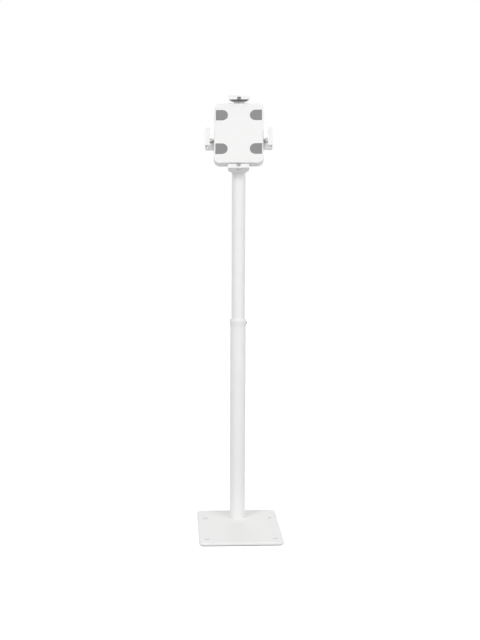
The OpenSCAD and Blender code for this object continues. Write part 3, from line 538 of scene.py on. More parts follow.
lower_tube = solid("painted_lower_tube", tube("lower_tube", LOWER_WALL))
cut(lower_tube, screw_path())
dress(lower_tube, paint, "white_paint", "base", "lower_tube", crease=35)


# Guide bush, end guide and clamp shoe
# Turned and moulded nylon: the bush lines the top of the lower tube, the guide closes the upper
# tube's lower end, and the shoe lets the height screw clamp the upper tube without marking it.
NYLON_LIGHT = (0.78, 0.76, 0.69, 1)
NYLON_SHADE = (0.7, 0.68, 0.61, 1)


def natural_nylon():
    """Natural nylon: cream, with faint streaks from the mould."""
    finish = Finish(bpy.data.materials.new("natural_nylon"))
    flow = noise(finish, scale=90, detail=3, stretch=(1, 1, 3))
    grain = noise(finish, scale=2200, detail=2)
    return principled(finish, {
        "Base Color": between(finish, flow, NYLON_SHADE, NYLON_LIGHT),
        "Roughness": 0.4 + 0.15 * flow,
        "Normal": skin(finish, grain, depth=0.00003),
    })


nylon = natural_nylon()
refinish(nylon, "guide_bush", "tube_end_guide", "clamp_shoe")


# Collar
# A moulded white cap that is pushed over the top of the lower tube. It widens a little upwards,
# its upper edge is well rounded, and it holds the height screw.
COLLAR_ROUND = 0.0034
COLLAR_ROUND_SHARE = 0.98
COLLAR_FOOT_STEP = 0.0006
COLLAR_GAP = 0.00004
COLLAR_BORE = 0.0203
COLLAR_TOP = 0.004
PLASTIC_LIGHT = (0.895, 0.895, 0.89, 1)
PLASTIC_SHADE = (0.875, 0.875, 0.87, 1)


def white_plastic():
    """Satin moulded plastic: even white with a fine spark-eroded grain."""
    finish = Finish(bpy.data.materials.new("white_moulded_plastic"))
    flow = noise(finish, scale=7, detail=2)
    grain = noise(finish, scale=2600, detail=2)
    return principled(finish, {
        "Base Color": between(finish, flow, PLASTIC_SHADE, PLASTIC_LIGHT),
        "Roughness": 0.4 + 0.08 * flow + 0.08 * grain,
        "Normal": skin(finish, grain, depth=0.00004),
        "Specular IOR Level": 0.4,
    })


plastic = white_plastic()
collar_low, collar_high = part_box("tube_collar")
collar_r = (collar_high.x - collar_low.x) / 2
lower_r = (column_high.x - column_low.x) / 2
collar_inner = lower_r + COLLAR_GAP
collar_step = collar_high.z - COLLAR_TOP
collar_outline = [
    (collar_inner, collar_low.z), (collar_inner + COLLAR_FOOT_STEP, collar_low.z),
    (collar_r, collar_high.z - COLLAR_ROUND), (collar_r, collar_high.z),
    (COLLAR_BORE, collar_high.z), (COLLAR_BORE, collar_step), (collar_inner, collar_step)]
collar_rims = [(collar_r, collar_high.z, COLLAR_ROUND * COLLAR_ROUND_SHARE),
               (COLLAR_BORE, collar_high.z, TUBE_RIM)]
collar = solid("moulded_collar", placed(turned(collar_outline, collar_rims), column_place))
cut(collar, screw_path())
dress(collar, plastic, "white_plastic", "base", "tube_collar", crease=50)


# Height screw
# A zinc-plated button-head screw with a hexagon socket, on the right of the collar. Turned in, it
# presses the clamp shoe on the upper tube.
SCREW_SHANK_R = 0.0025
SCREW_HEAD_H = 0.0026
SCREW_DOME = 0.0019
SCREW_SOCKET_R = 0.0016
SCREW_SOCKET_DEPTH = 0.0016


def hexagon(radius, low, high):
    """Upright hexagonal prism about Z."""
    bm = bmesh.new()
    bmesh.ops.create_cone(bm, cap_ends=True, segments=6, radius1=radius, radius2=radius,
                          depth=high - low)
    bmesh.ops.translate(bm, vec=(0, 0, (low + high) / 2), verts=bm.verts)
    return bm


head_low, head_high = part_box("height_screw")
head_r = (head_high.z - head_low.z) / 2
head_base = head_high.x - SCREW_HEAD_H
height_screw = solid("button_height_screw", turned([
    (0, head_low.x), (SCREW_SHANK_R, head_low.x), (SCREW_SHANK_R, head_base), (head_r, head_base),
    (head_r, head_high.x), (0, head_high.x)], [(head_r, head_high.x, SCREW_DOME)], BORE_STEPS))
cut(height_screw, hexagon(SCREW_SOCKET_R, head_high.x - SCREW_SOCKET_DEPTH, 1))
height_screw.data.transform(screw_place)
dress(height_screw, zinc, "bright_steel", "height_screw", "height_screw", crease=35)


# Upper tube
# A slimmer powder-coated tube of 40 mm that slides in the lower one. The yoke is riveted into its
# upper end.
UPPER_WALL = 0.0015
RIVET_HOLE_R = 0.00204

tilt_joint = joint("head_tilt")
side_axis = -Vector(tilt_joint["axis"]).normalized()
COLUMN = column_place @ Matrix.Rotation(math.atan2(side_axis.y, side_axis.x), 4, "Z")


def span(node, place):
    """Lowest and highest corner of a node in the frame of a place."""
    to_place = place.inverted()
    points = [to_place @ v.co for v in frame["nodes"][node].data.vertices]
    return (Vector([min(p[k] for p in points) for k in range(3)]),
            Vector([max(p[k] for p in points) for k in range(3)]))


rivet_low, rivet_high = span("yoke_rivets", COLUMN)
rivet_level = (rivet_low.z + rivet_high.z) / 2
rivet_place = COLUMN @ Matrix.Translation((0, 0, rivet_level)) @ SIDEWAYS


def rivet_path():
    """Tool for the two rivets' holes, right through the tube."""
    return placed(bar(RIVET_HOLE_R, -1, 1, SMALL_STEPS), rivet_place)


upper_tube = solid("painted_upper_tube", tube("upper_tube", UPPER_WALL))
cut(upper_tube, rivet_path())
dress(upper_tube, paint, "white_paint", "column", "upper_tube", crease=35)


# Yoke
# A powder-coated steel casting: a plug in the upper tube, a round flange on the tube's end and two
# ears that carry the tilt bolt. Two domed rivets hold its plug in the tube.
YOKE_PLUG_R = 0.01846
YOKE_FLANGE_H = 0.006
YOKE_EDGE = 0.0012
EAR_IN = 0.014
EAR_R = 0.013
TILT_BOLT_R = 0.004
RIVET_R = 0.002
RIVET_HEAD_R = 0.0032
RIVET_HEAD_H = 0.0012
RIVET_DOME = 0.001
RIVET_LENGTH = 0.0085
CAST_SOFT = 0.0006
OVERLAP = 0.001
NEARLY_HALF = 0.999


def join(piece, *shapes):
    """Joins shapes to a piece."""
    for bm in shapes:
        combine(piece, bm, "UNION")


hinge = Vector(tilt_joint["pos_m"])
hinge_place = COLUMN @ Matrix.Translation((0, 0, hinge.z)) @ SIDEWAYS
yoke_low, yoke_high = span("yoke", COLUMN)
tube_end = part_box("upper_tube")[1].z
flange_r = (yoke_high.x - yoke_low.x) / 2
flange_top = tube_end + YOKE_FLANGE_H
nut_low, nut_high = span("tilt_nut", COLUMN)
ear_out = nut_low.x
yoke = solid("cast_yoke", placed(turned([
    (0, yoke_low.z), (YOKE_PLUG_R, yoke_low.z), (YOKE_PLUG_R, tube_end), (flange_r, tube_end),
    (flange_r, flange_top), (0, flange_top)],
    [(flange_r, flange_top, YOKE_EDGE), (flange_r, tube_end, YOKE_EDGE / 2)]), column_place))
for side in (-1, 1):
    ear = block((side * EAR_IN, -EAR_R, flange_top - OVERLAP),
                (side * ear_out, EAR_R, yoke_high.z))
    round_edges(ear, edges_along(ear, 0, lambda m: m.z > hinge.z), EAR_R * NEARLY_HALF,
                4 * ROUND_STEPS)
    join(yoke, placed(ear, COLUMN))
cut(yoke, placed(bar(TILT_BOLT_R, -1, 1), hinge_place), rivet_path())
soften(yoke, CAST_SOFT)
dress(yoke, paint, "white_paint", "column", "yoke")

rivet_out = rivet_high.x
rivet_in = rivet_out - RIVET_LENGTH
rivet_seat = rivet_out - RIVET_HEAD_H
rivets = solid("domed_rivets", bmesh.new())
for turn in (math.pi, 0):
    rivet = turned([
        (0, rivet_in), (RIVET_R, rivet_in), (RIVET_R, rivet_seat), (RIVET_HEAD_R, rivet_seat),
        (RIVET_HEAD_R, rivet_out), (0, rivet_out)],
        [(RIVET_HEAD_R, rivet_out, RIVET_DOME)], SMALL_STEPS)
    join(rivets, placed(rivet, rivet_place @ Matrix.Rotation(turn, 4, "Y")))
dress(rivets, zinc, "bright_steel", "column", "yoke_rivets", crease=35)


# Tilt bolt, nut and friction washers
# An M8 hexagon bolt of zinc-plated steel through the ears and the knuckle, with chamfered corners
# on the head and the nut. Nylon washers inside the ears give the tilt its drag.
HEX_CHAMFER = 0.0011
HEX_FACE = 0.9
BOLT_TIP = 0.0008


def chamfered_hexagon(radius, low, high):
    """Hexagonal head whose corners are turned off at the ends."""
    head = solid("hexagon_head", hexagon(radius, low, high))
    short = radius * HEX_FACE
    turned_off = turned([
        (0, low), (short, low), (radius, low + HEX_CHAMFER), (radius, high - HEX_CHAMFER),
        (short, high), (0, high)], steps=BORE_STEPS)
    combine(head, turned_off, "INTERSECT")
    return head


bolt_low, bolt_high = span("tilt_bolt", COLUMN)
hex_r = max(bolt_high.y - bolt_low.y, bolt_high.z - bolt_low.z) / 2
shank_start = -ear_out - OVERLAP
tilt_bolt = chamfered_hexagon(hex_r, bolt_low.x, -ear_out)
join(tilt_bolt, turned([(0, shank_start), (TILT_BOLT_R, shank_start), (TILT_BOLT_R, bolt_high.x),
                        (0, bolt_high.x)], [(TILT_BOLT_R, bolt_high.x, BOLT_TIP)], BORE_STEPS))
tilt_bolt.name = "hexagon_tilt_bolt"
tilt_bolt.data.transform(hinge_place)
dress(tilt_bolt, zinc, "bright_steel", "column", "tilt_bolt", crease=25)

tilt_nut = chamfered_hexagon(hex_r, nut_low.x, nut_high.x)
cut(tilt_nut, bar(TILT_BOLT_R, -1, 1))
tilt_nut.name = "hexagon_tilt_nut"
tilt_nut.data.transform(hinge_place)
dress(tilt_nut, zinc, "bright_steel", "column", "tilt_nut", crease=25)
refinish(nylon, "friction_washers")


# Knuckle
# A powder-coated casting between the ears: a lug on the tilt bolt, a round flange behind the
# holder and a hub that the holder turns on. The hub's retainer and the friction ring are inside
# the holder.
KNUCKLE_R = 0.012
KNUCKLE_HALF = 0.0129
FLANGE_W0 = 0.025
FLANGE_W1 = 0.029
HUB_R = 0.018
FLANGE_EDGE = 0.001

face_normal = Vector(joint("holder_turn")["axis"]).normalized()
up_axis = face_normal.cross(side_axis)
HEAD = Matrix.Translation(hinge) @ Matrix((side_axis, up_axis, face_normal)).transposed().to_4x4()


def dress_head(piece, *others, **options):
    """Brings a piece from the holder's own frame to its place and dresses it."""
    piece.data.transform(HEAD)
    dress(piece, *others, **options)


knuckle_high = span("tilt_knuckle", HEAD)[1]
disc_r = knuckle_high.x
knuckle = solid("cast_knuckle", turned([
    (0, FLANGE_W0), (disc_r, FLANGE_W0), (disc_r, FLANGE_W1), (HUB_R, FLANGE_W1),
    (HUB_R, knuckle_high.z), (0, knuckle_high.z)],
    [(disc_r, FLANGE_W0, FLANGE_EDGE), (disc_r, FLANGE_W1, FLANGE_EDGE)]))
lug = block((-KNUCKLE_HALF, -KNUCKLE_R, -KNUCKLE_R),
            (KNUCKLE_HALF, KNUCKLE_R, FLANGE_W0 + OVERLAP))
round_edges(lug, edges_along(lug, 0, lambda m: m.z < 0), KNUCKLE_R * NEARLY_HALF,
            4 * ROUND_STEPS)
join(knuckle, lug)
cut(knuckle, placed(bar(TILT_BOLT_R, -1, 1), SIDEWAYS))
soften(knuckle, CAST_SOFT)
dress_head(knuckle, paint, "white_paint", "tilt_head", "tilt_knuckle")
refinish(nylon, "swivel_washer")
refinish(zinc, "hub_retainer", "retainer_screws")


# Rear cover
# The back half of the holder's housing, moulded in white with 3 mm walls. It has slots in its
# sides for the arms and in its ends for the strips, and recesses for the four housing screws.
HOUSING_CORNER = 0.018
HOUSING_EDGE = 0.002
WALL = 0.003
COVER_FLOOR = 0.0025
PARTING = 0.0003
SLOT_GAP = 0.0003
BOSS_R = 0.004
BOSS_INSET = (0.009, 0.011)
RECESS_R = 0.00295
RECESS_DEPTH = 0.002
SCREW_BORE = 0.00154
HUB_GAP = 0.00006
INSERT_BORE = 0.0041
INSERT_FLOOR = 0.0006
LOCK_HOLE_R = 0.0027
LOCK_BOSS_R = 0.0063
LOCK_BOSS_TOP = 0.0348
STRIP_SLOT = 0.0028
HOUSING_SOFT = 0.0003
RAIL = 0.002
RAIL_DROP = 0.001
RAIL_IN = 0.026


def bored(radius, low, high, place):
    """Round tool along the face's normal at a place on the face."""
    return placed(bar(radius, low, high), Matrix.Translation((*place, 0)))


def stepped(rear_r, step, front_r, place):
    """Tool for a bore right through that changes its radius at a step."""
    outline = [(0, 0), (rear_r, 0), (rear_r, step), (front_r, step), (front_r, 1), (0, 1)]
    return placed(turned(outline, steps=BORE_STEPS), Matrix.Translation((*place, 0)))


cover_low, cover_high = span("rear_cover", HEAD)
arm_low, arm_high = span("left_arm", HEAD)
strip_low, strip_high = span("top_slider", HEAD)
lock_low, lock_high = span("lock_screw", HEAD)
lock_v = (lock_low.y + lock_high.y) / 2
floor_w = cover_low.z + COVER_FLOOR
inner = Vector((cover_high.x - WALL, cover_high.y - WALL))
boss_places = [(x * (inner.x - BOSS_INSET[0]), y * (inner.y - BOSS_INSET[1]))
               for x in (-1, 1) for y in (-1, 1)]

cover_bm = slab(cover_low, cover_high, HOUSING_CORNER)
round_edges(cover_bm, edges_at(cover_bm, 2, cover_low.z), HOUSING_EDGE)
round_edges(cover_bm, edges_at(cover_bm, 2, cover_high.z), PARTING, 2)
rear_cover = solid("moulded_rear_cover", cover_bm)
cut(rear_cover, slab((-inner.x, -inner.y, floor_w), (inner.x, inner.y, 1), HOUSING_CORNER - WALL))
rail_top = cover_high.z - RAIL_DROP
rail_low = arm_low.y - SLOT_GAP - RAIL
rail_high = arm_high.y + SLOT_GAP
rail_end = inner.x + RAIL
rail_foot = floor_w - RAIL
join(rear_cover, block((-rail_end, rail_low, rail_foot), (rail_end, rail_low + RAIL, rail_top)))
for side in (-1, 1):
    join(rear_cover, block((side * RAIL_IN, rail_high, rail_foot),
                           (side * rail_end, rail_high + RAIL, rail_top)))
for place in boss_places:
    join(rear_cover, bored(BOSS_R, rail_foot, cover_high.z, place))
join(rear_cover, bored(LOCK_BOSS_R, rail_foot, LOCK_BOSS_TOP, (0, lock_v)))
for side in (-1, 1):
    arm_slot = block(
        (side * (cover_high.x - WALL - RAIL), arm_low.y - SLOT_GAP, arm_low.z - SLOT_GAP),
        (side, arm_high.y + SLOT_GAP, 1))
    strip_slot = block(
        (strip_low.x - SLOT_GAP, side * (cover_high.y - WALL - RAIL), strip_low.z - SLOT_GAP),
        (strip_high.x + SLOT_GAP, side, strip_low.z + STRIP_SLOT))
    cut(rear_cover, arm_slot, strip_slot)
for place in boss_places:
    cut(rear_cover, stepped(RECESS_R, cover_low.z + RECESS_DEPTH, SCREW_BORE, place))
cut(rear_cover, bored(HUB_R + HUB_GAP, 0, 1, (0, 0)),
    stepped(LOCK_HOLE_R, cover_low.z + INSERT_FLOOR, INSERT_BORE, (0, lock_v)))
soften(rear_cover, HOUSING_SOFT, 2)
dress_head(rear_cover, plastic, "white_plastic", "holder", "rear_cover")
refinish(zinc, "housing_screws")


# Front plate
# The front half of the housing, moulded in the same white plastic. Its face is smooth, with a
# small round on the edge and a shallow seat for each grip pad. Ribs inside it keep the arms and
# the top slider down.
PLATE_FACE = 0.0035
KEEPER_T = 0.002
ARM_KEEPER_IN = 0.032
ARM_KEEPER_VS = (-0.04, -0.033)
SLIDER_KEEPER_U = 0.0075
SLIDER_KEEPER_V = 0.045
SCREW_TIP = 0.0514
GRIP_SEAT_GAP = 0.0002
GRIPS = ["upper_left_grip", "upper_right_grip", "lower_left_grip", "lower_right_grip"]


def grip_shape(low, high, grow=0.0):
    """Pad that is straight at the outer end and half round at the inner end."""
    middle = (low.x + high.x) / 2
    outward = 1 if middle > 0 else -1
    bm = block(low - Vector((grow, grow, 0)), high + Vector((grow, grow, 0)))
    inner_edges = edges_along(bm, 2, lambda m: m.x * outward < middle * outward)
    round_edges(bm, inner_edges, ((high.y - low.y) / 2 + grow) * NEARLY_HALF, 4 * ROUND_STEPS)
    return bm


front_low, front_high = span("front_plate", HEAD)
split_w = cover_high.z
inner_face = front_high.z - PLATE_FACE
rib_top = inner_face + KEEPER_T
front_bm = slab((front_low.x, front_low.y, split_w), front_high, HOUSING_CORNER)
round_edges(front_bm, edges_at(front_bm, 2, front_high.z), HOUSING_EDGE)
round_edges(front_bm, edges_at(front_bm, 2, split_w), PARTING, 2)
front_plate = solid("moulded_front_plate", front_bm)
cut(front_plate, slab((-inner.x, -inner.y, 0), (inner.x, inner.y, inner_face),
                      HOUSING_CORNER - WALL))
for side in (-1, 1):
    for v in ARM_KEEPER_VS:
        join(front_plate, block((side * ARM_KEEPER_IN, v, arm_high.z + SLOT_GAP),
                                (side * (inner.x + PARTING), v + KEEPER_T, rib_top)))
    middle = side * SLIDER_KEEPER_U
    join(front_plate, block((middle - KEEPER_T / 2, SLIDER_KEEPER_V, front_low.z),
                            (middle + KEEPER_T / 2, inner.y - PARTING, rib_top)))
for place in boss_places:
    join(front_plate, bored(BOSS_R, split_w, rib_top, place))
    cut(front_plate, bored(SCREW_BORE, 0, SCREW_TIP, place))
for name in GRIPS:
    grip_low, grip_high = span(name, HEAD)
    cut(front_plate, grip_shape(grip_low, grip_high, GRIP_SEAT_GAP))
soften(front_plate, HOUSING_SOFT, 2)
dress_head(front_plate, plastic, "white_plastic", "holder", "front_plate")


# Grip pads
# Four die-cut pads of matt grey rubber, glued into their seats. They stand 1 mm proud of the face
# and keep the tablet from sliding.
GRIP_EDGE = 0.0005
GREY_LIGHT = (0.3, 0.3, 0.3, 1)
GREY_SHADE = (0.26, 0.26, 0.26, 1)


def grey_rubber():
    """Matt grey rubber with a fine grain."""
    finish = Finish(bpy.data.materials.new("grey_pad_rubber"))
    bloom = noise(finish, scale=130, detail=4)
    grain = noise(finish, scale=1900, detail=3)
    return principled(finish, {
        "Base Color": between(finish, bloom * 0.6 + grain * 0.4, GREY_SHADE, GREY_LIGHT),
        "Roughness": 0.74 + 0.16 * grain,
        "Normal": skin(finish, grain, depth=0.00012, strength=0.6),
        "Specular IOR Level": 0.3,
    })


grey = grey_rubber()
for name in GRIPS:
    grip_low, grip_high = span(name, HEAD)
    grip_bm = grip_shape(grip_low, grip_high)
    round_edges(grip_bm, edges_at(grip_bm, 2, grip_high.z), GRIP_EDGE, 3)
    dress_head(solid(name + "_pad", grip_bm), grey, "grey_rubber", "holder", name, crease=50)


# Pinion
# A moulded nylon pinion on a steel post inside the housing. It turns between the two racks, so
# that the side claws always move together.
refinish(nylon, "side_pinion")
refinish(zinc, "pinion_post", "pinion_washer")


# Side arms
# Two powder-coated steel arms, each a strip with a rack inside the housing. Outside it they carry
# a rounded bar and a low band above a groove, which end in a block for the claw.
STRIP_T = 0.002
STRIP_GAP = 0.0004
STRIP_END = 0.0316
BEAM_H = 0.019
BEAM_ROUND = 0.004
BEAM_IN = 0.05
BAND_H = 0.0105
BAND_W = 0.0458
JOIN_LEN = 0.018
BLOCK_LEN = 0.009
WINDOW_OUT = 0.0281
WINDOW_IN = 0.0271
TOOTH_MODULE = 0.001
TOOTH_HEIGHT = 2.2 * TOOTH_MODULE
TOOTH_HALF = 0.00105
TOOTH_TIP = 0.45
TOOTH_SET = 0.0002
PITCH_R = 0.008
TIP_GAP = 0.0096
RACK_DEPTH = 0.0092
CSK_R = 0.0028
CSK_SHANK_R = 0.0015
CSK_LENGTH = 0.0098
CSK_OVER = 0.001
CSK_GAP = 0.00006
ARM_SOFT = 0.0004


def countersink(place):
    """Tool for a countersunk screw that points down, with its head flush at the place's origin."""
    head, shank, cone = CSK_R + CSK_GAP, CSK_SHANK_R + CSK_GAP, CSK_R - CSK_SHANK_R
    outline = [(0, -CSK_LENGTH), (shank, -CSK_LENGTH), (shank, -cone), (head, 0),
               (head, CSK_OVER), (0, CSK_OVER)]
    return placed(turned(outline, steps=BORE_STEPS), place)


def mirrored(bm, side):
    """Turns a shape drawn for the left side into the one for the given side."""
    if side > 0:
        bmesh.ops.scale(bm, vec=(-1, 1, 1), verts=bm.verts)
        bmesh.ops.recalc_face_normals(bm, faces=bm.faces)
    return bm


def rack(pinion_v, strip_w, rack_side):
    """Row of teeth on the window's edge."""
    pitch = math.pi * TOOTH_MODULE
    first = math.ceil(-WINDOW_OUT / pitch - 0.5)
    last = math.floor(WINDOW_IN / pitch - 0.5)
    bm = bmesh.new()
    for tooth in range(first, last + 1):
        made = bmesh.ops.create_cone(bm, cap_ends=True, segments=4, radius1=1, radius2=TOOTH_TIP,
                                     depth=TOOTH_HEIGHT)["verts"]
        bmesh.ops.rotate(bm, verts=made, matrix=Matrix.Rotation(math.pi / 4, 3, "Z"))
        bmesh.ops.rotate(bm, verts=made, matrix=Matrix.Rotation(rack_side * math.pi / 2, 3, "X"))
        half = max(v.co.x for v in made)
        bmesh.ops.scale(bm, verts=made, vec=(TOOTH_HALF / half, 1, STRIP_T / 2 / half))
        for vert in made:
            vert.co.z = math.copysign(STRIP_T / 2, vert.co.z)
        bmesh.ops.translate(bm, verts=made, vec=(
            (tooth + 0.5) * pitch, pinion_v + rack_side * (PITCH_R + TOOTH_SET),
            strip_w + STRIP_T / 2))
    return bm


def claw_screw_places(node):
    """Places of a side claw's two screws, on its outer face, for the left side."""
    low, high = span(node, HEAD)
    return [Matrix.Translation((-max(abs(low.x), abs(high.x)), v, (low.z + high.z) / 2))
            @ Matrix.Rotation(-math.pi / 2, 4, "Y") for v in (low.y + CSK_R, high.y - CSK_R)]


pinion_v = (HEAD.inverted() @ Vector(joint("pinion_turn")["pos_m"])).y
for side, name in ((-1, "left"), (1, "right")):
    low, high = span(name + "_arm", HEAD)
    outer = max(abs(low.x), abs(high.x))
    strip_w = low.z if side < 0 else low.z + STRIP_T + STRIP_GAP
    beam_w = strip_w + STRIP_T if side > 0 else strip_w + 2 * (STRIP_T + STRIP_GAP)
    beam_top = low.y + BEAM_H
    inside = BLOCK_LEN / 2 - outer
    arm = solid(name + "_painted_arm", mirrored(block(
        (inside, low.y, strip_w), (STRIP_END, high.y, strip_w + STRIP_T)), side))
    rack_side = -side
    window = sorted((pinion_v - rack_side * TIP_GAP, pinion_v + rack_side * RACK_DEPTH))
    cut(arm, mirrored(block((-WINDOW_OUT, window[0], 0), (WINDOW_IN, window[1], 1)), side))
    join(arm, mirrored(rack(pinion_v, strip_w, rack_side), side))
    beam = block((inside, low.y, beam_w), (-BEAM_IN, beam_top, high.z))
    round_edges(beam, edges_along(beam, 0, lambda m: m.z > high.z - TINY), BEAM_ROUND)
    join(arm, mirrored(beam, side))
    root = block((inside, low.y, strip_w), (JOIN_LEN - outer, beam_top, high.z - BEAM_ROUND))
    band = block((inside, high.y - BAND_H, strip_w), (JOIN_LEN - outer, high.y, BAND_W))
    end = block((-outer, low.y, low.z), (BLOCK_LEN - outer, high.y, high.z))
    round_edges(end, edges_along(end, 0, lambda m: m.z > high.z - TINY), BEAM_ROUND)
    join(arm, mirrored(root, side), mirrored(band, side), mirrored(end, side))
    for place in claw_screw_places(name + "_claw_screws"):
        cut(arm, mirrored(countersink(place), side))
    soften(arm, ARM_SOFT, 2)
    dress_head(arm, paint, "white_paint", name + "_side", name + "_arm")


# Side claws
# Moulded white hooks screwed to the ends of the arms: a wall along the tablet's edge, rounded at
# its lower end, and a lip in front of it. A pad of grey rubber lines the wall.
CLAW_T = 0.0035
LIP_T = 0.003
LIP_CORNER = 0.004
LIP_EDGE = 0.003
CLAW_CORNER = 0.0032
CLAW_FOOT = 0.006
CLAW_REAR = 0.014
CLAW_SOFT = 0.0013
LINING_CORNER = 0.002
LINING_SOFT = 0.0003


def as_bmesh(piece):
    """Takes a piece's mesh back into a bmesh and removes the object."""
    bm = bmesh.new()
    bm.from_mesh(piece.data)
    bpy.data.objects.remove(piece)
    return bm


for side, name in ((-1, "left"), (1, "right")):
    low, high = span(name + "_claw", HEAD)
    outer = max(abs(low.x), abs(high.x))
    lip_in = min(abs(low.x), abs(high.x))
    wall = block((-outer, low.y, low.z), (CLAW_T - outer, high.y, high.z))
    rear_top = edges_along(wall, 0, lambda m: m.y > 0 and m.z < high.z - TINY)
    round_edges(wall, rear_top, CLAW_REAR, 2 * ROUND_STEPS)
    others = edges_along(wall, 0, lambda m: m.y < low.y + TINY or m.z > high.z - TINY)
    round_edges(wall, others, CLAW_CORNER)
    lip = block((-outer, low.y, high.z - LIP_T), (-lip_in, high.y, high.z))
    round_edges(lip, edges_along(lip, 2, lambda m: m.x > -lip_in - TINY), LIP_CORNER)
    round_edges(lip, edges_along(lip, 2, lambda m: m.x < TINY - outer), LIP_EDGE)
    foot = solid("foot", block((-outer - CLAW_T, low.y - CLAW_T, low.z - CLAW_T),
                               (CLAW_FOOT - outer, low.y + CLAW_FOOT, high.z - LIP_T)))
    cut(foot, bored(CLAW_FOOT, 0, 2 * high.z, (CLAW_FOOT - outer, low.y + CLAW_FOOT)))
    claw = solid(name + "_moulded_claw", mirrored(wall, side))
    join(claw, mirrored(lip, side))
    cut(claw, mirrored(as_bmesh(foot), side))
    for place in claw_screw_places(name + "_claw_screws"):
        cut(claw, mirrored(countersink(place), side))
    soften(claw, CLAW_SOFT)
    dress_head(claw, plastic, "white_plastic", name + "_side", name + "_claw")

    pad_low, pad_high = span(name + "_claw_lining", HEAD)
    lining = solid(name + "_rubber_lining", slab(pad_low, pad_high, LINING_CORNER, axis=0))
    soften(lining, LINING_SOFT, 2)
    dress_head(lining, grey, "grey_rubber", name + "_side", name + "_claw_lining")
    refinish(zinc, name + "_claw_screws")


# Top slider and bottom bracket
# Two strips of powder-coated steel, each bent to a foot that is let into its claw. The upper one
# slides in the housing, and the lower one is screwed to the rear cover.
STRIP_THICK = 0.0025
FOOT_T = 0.002
BEND_OUT = 0.003
BEND_IN = 0.001
FLAT_ANGLE = math.radians(1)
STRIP_SOFT = 0.0003


def bent_strip(node, up):
    """Strip up or down the face, with its foot turned forwards under the claw."""
    low, high = span(node, HEAD)
    face_w = low.z + STRIP_THICK
    end, near = (high.y, high.y - FOOT_T) if up else (low.y, low.y + FOOT_T)
    made = solid("bent_" + node, block(low, (high.x, high.y, face_w)))
    join(made, block((low.x, end, low.z), (high.x, near, high.z)))
    bm = as_bmesh(made)
    bmesh.ops.dissolve_limit(bm, angle_limit=FLAT_ANGLE, verts=bm.verts, edges=bm.edges)
    outside = edges_along(bm, 0, lambda m: abs(m.y - end) < TINY and m.z < low.z + TINY)
    round_edges(bm, outside, BEND_OUT)
    inside = edges_along(bm, 0, lambda m: abs(m.y - near) < TINY and abs(m.z - face_w) < TINY)
    round_edges(bm, inside, BEND_IN, 3)
    return solid("bent_" + node, bm)


def shelf_screw_places(node, up):
    """Places of an end claw's two screws, on its outer face."""
    low, high = span(node, HEAD)
    turn = Matrix.Rotation(-math.pi / 2 if up else math.pi / 2, 4, "X")
    return [Matrix.Translation((u, high.y if up else low.y, (low.z + high.z) / 2)) @ turn
            for u in (low.x + CSK_R, high.x - CSK_R)]


bracket_low, bracket_high = span("bracket_screws", HEAD)
for node, body, up in (("top_slider", "top_side", True), ("bottom_bracket", "holder", False)):
    strip = bent_strip(node, up)
    for place in shelf_screw_places("top_claw_screws" if up else "bottom_claw_screws", up):
        cut(strip, countersink(place))
    if not up:
        for v in (bracket_low.y + CSK_R, bracket_high.y - CSK_R):
            cut(strip, countersink(Matrix.Translation((0, v, bracket_high.z))))
    soften(strip, STRIP_SOFT, 2)
    dress_head(strip, paint, "white_paint", body, node)
refinish(zinc, "bracket_screws")


# Top and bottom claws
# Moulded white shelves with a lip along the front, screwed to the strips' feet. A notch in the lip
# and a slot in the shelf leave room for a plug, and a pad of grey rubber covers the front of the
# shelf and the foot's end.
SHELF_REAR = 0.022
PAD_REAR = 0.018
PAD_START = 0.045
POCKET_GAP = 0.00004
NOTCH_W = 0.011
NOTCH_H = 0.0085
NOTCH_R = 0.002
PORT_W = 0.016
PORT_D = 0.005
PORT_W0 = 0.0555
PORT_R = 0.0015
REACH = 0.01


def plug_slot(low, high):
    """Tool for the plug's slot, right through the shelf or its pad."""
    return slab((-PORT_W / 2, low.y - REACH, PORT_W0),
                (PORT_W / 2, high.y + REACH, PORT_W0 + PORT_D), PORT_R, axis=1)


def tongue(low, high, rear, front):
    """Plate with its corners rounded, at the rear and at the front."""
    bm = block(low, high)
    round_edges(bm, edges_along(bm, 1, lambda m: m.z < low[2] + TINY), rear, 2 * ROUND_STEPS)
    round_edges(bm, edges_along(bm, 1, lambda m: m.z > high[2] - TINY), front)
    return bm


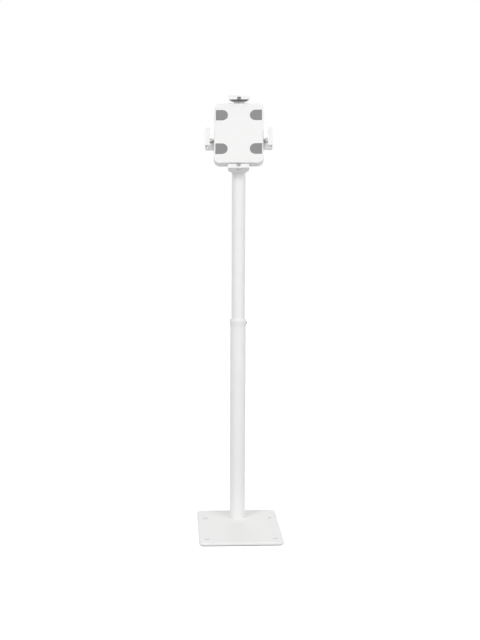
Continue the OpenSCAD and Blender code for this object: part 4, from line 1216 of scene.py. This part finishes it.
for name, body, up in (("top", "top_side", True), ("bottom", "holder", False)):
    low, high = span(name + "_claw", HEAD)
    shelf_v = (high.y - CLAW_T, high.y) if up else (low.y, low.y + CLAW_T)
    shelf = tongue((low.x, shelf_v[0], low.z), (high.x, shelf_v[1], high.z),
                   SHELF_REAR, CLAW_CORNER)
    lip = block((low.x, low.y, high.z - LIP_T), (high.x, high.y, high.z))
    free, held = (low.y, high.y) if up else (high.y, low.y)
    round_edges(lip, edges_along(lip, 2, lambda m: abs(m.y - free) < TINY), LIP_CORNER)
    round_edges(lip, edges_along(lip, 2, lambda m: abs(m.y - held) < TINY), LIP_EDGE)
    claw = solid(name + "_moulded_claw", shelf)
    join(claw, lip)
    deep, clear = (free + NOTCH_H, free - REACH) if up else (free - NOTCH_H, free + REACH)
    notch = block((-NOTCH_W / 2, deep, high.z - REACH), (NOTCH_W / 2, clear, high.z + REACH))
    round_edges(notch, edges_along(notch, 2, lambda m: abs(m.y - deep) < TINY), NOTCH_R)
    cut(claw, notch, plug_slot(low, high))
    foot_low, foot_high = span("top_slider" if up else "bottom_bracket", HEAD)
    foot_v = (shelf_v[0] - FOOT_T, foot_high.y) if up else (foot_low.y, shelf_v[1] + FOOT_T)
    cut(claw, block((foot_low.x - POCKET_GAP, foot_v[0], 0),
                    (foot_high.x + POCKET_GAP, foot_v[1], foot_high.z + POCKET_GAP)))
    for place in shelf_screw_places(name + "_claw_screws", up):
        cut(claw, countersink(place))
    soften(claw, CLAW_SOFT)
    dress_head(claw, plastic, "white_plastic", body, name + "_claw")

    pad_low, pad_high = span(name + "_claw_lining", HEAD)
    pad = tongue((pad_low.x, pad_low.y, PAD_START), pad_high, PAD_REAR, LINING_CORNER)
    lining = solid(name + "_rubber_lining", pad)
    cut(lining, plug_slot(pad_low, pad_high))
    soften(lining, LINING_SOFT, 2)
    dress_head(lining, grey, "grey_rubber", body, name + "_claw_lining")
    refinish(paint, name + "_claw_screws")


# Lock screw
# A fluted zinc-plated thumb screw on the back of the cover, in a brass insert. Turned in, it
# presses a nylon shoe on the top slider.
FLUTES = 12
FLUTE_R = 0.001
FLUTE_OUT = 0.0004
FLUTE_PAST = 0.0001
FLUTE_STEPS = 24
LOCK_HEAD_H = 0.005
LOCK_SHANK_R = 0.0025
LOCK_EDGE = 0.0007
LOCK_SOCKET_R = 0.00175
LOCK_SOCKET_DEPTH = 0.0025
BRASS_LIGHT = (0.78, 0.62, 0.28, 1)
BRASS_SHADE = (0.62, 0.47, 0.19, 1)


def turned_brass():
    """Bright brass with fine rings from the lathe."""
    finish = Finish(bpy.data.materials.new("turned_brass"))
    rings = noise(finish, scale=500, detail=2, stretch=(1, 6, 1))
    return principled(finish, {
        "Base Color": between(finish, rings, BRASS_SHADE, BRASS_LIGHT),
        "Metallic": 1.0,
        "Roughness": 0.25 + 0.15 * rings,
    })


lock_r = (lock_high.x - lock_low.x) / 2
lock_top = lock_low.z + LOCK_HEAD_H
lock_screw = solid("fluted_lock_screw", turned([
    (0, lock_low.z), (lock_r, lock_low.z), (lock_r, lock_top), (LOCK_SHANK_R, lock_top),
    (LOCK_SHANK_R, lock_high.z), (0, lock_high.z)],
    [(lock_r, lock_low.z, LOCK_EDGE), (lock_r, lock_top, LOCK_EDGE)]))
for flute in range(FLUTES):
    turn = Matrix.Rotation(flute * 2 * math.pi / FLUTES, 4, "Z")
    cut(lock_screw, placed(bar(FLUTE_R, 0, lock_top + FLUTE_PAST, FLUTE_STEPS),
                           turn @ Matrix.Translation((lock_r + FLUTE_OUT, 0, 0))))
cut(lock_screw, hexagon(LOCK_SOCKET_R, 0, lock_low.z + LOCK_SOCKET_DEPTH))
lock_screw.data.transform(Matrix.Translation((0, lock_v, 0)))
dress_head(lock_screw, zinc, "bright_steel", "lock_screw", "lock_screw", crease=35)
refinish(turned_brass(), "lock_insert")
refinish(nylon, "brake_shoe")
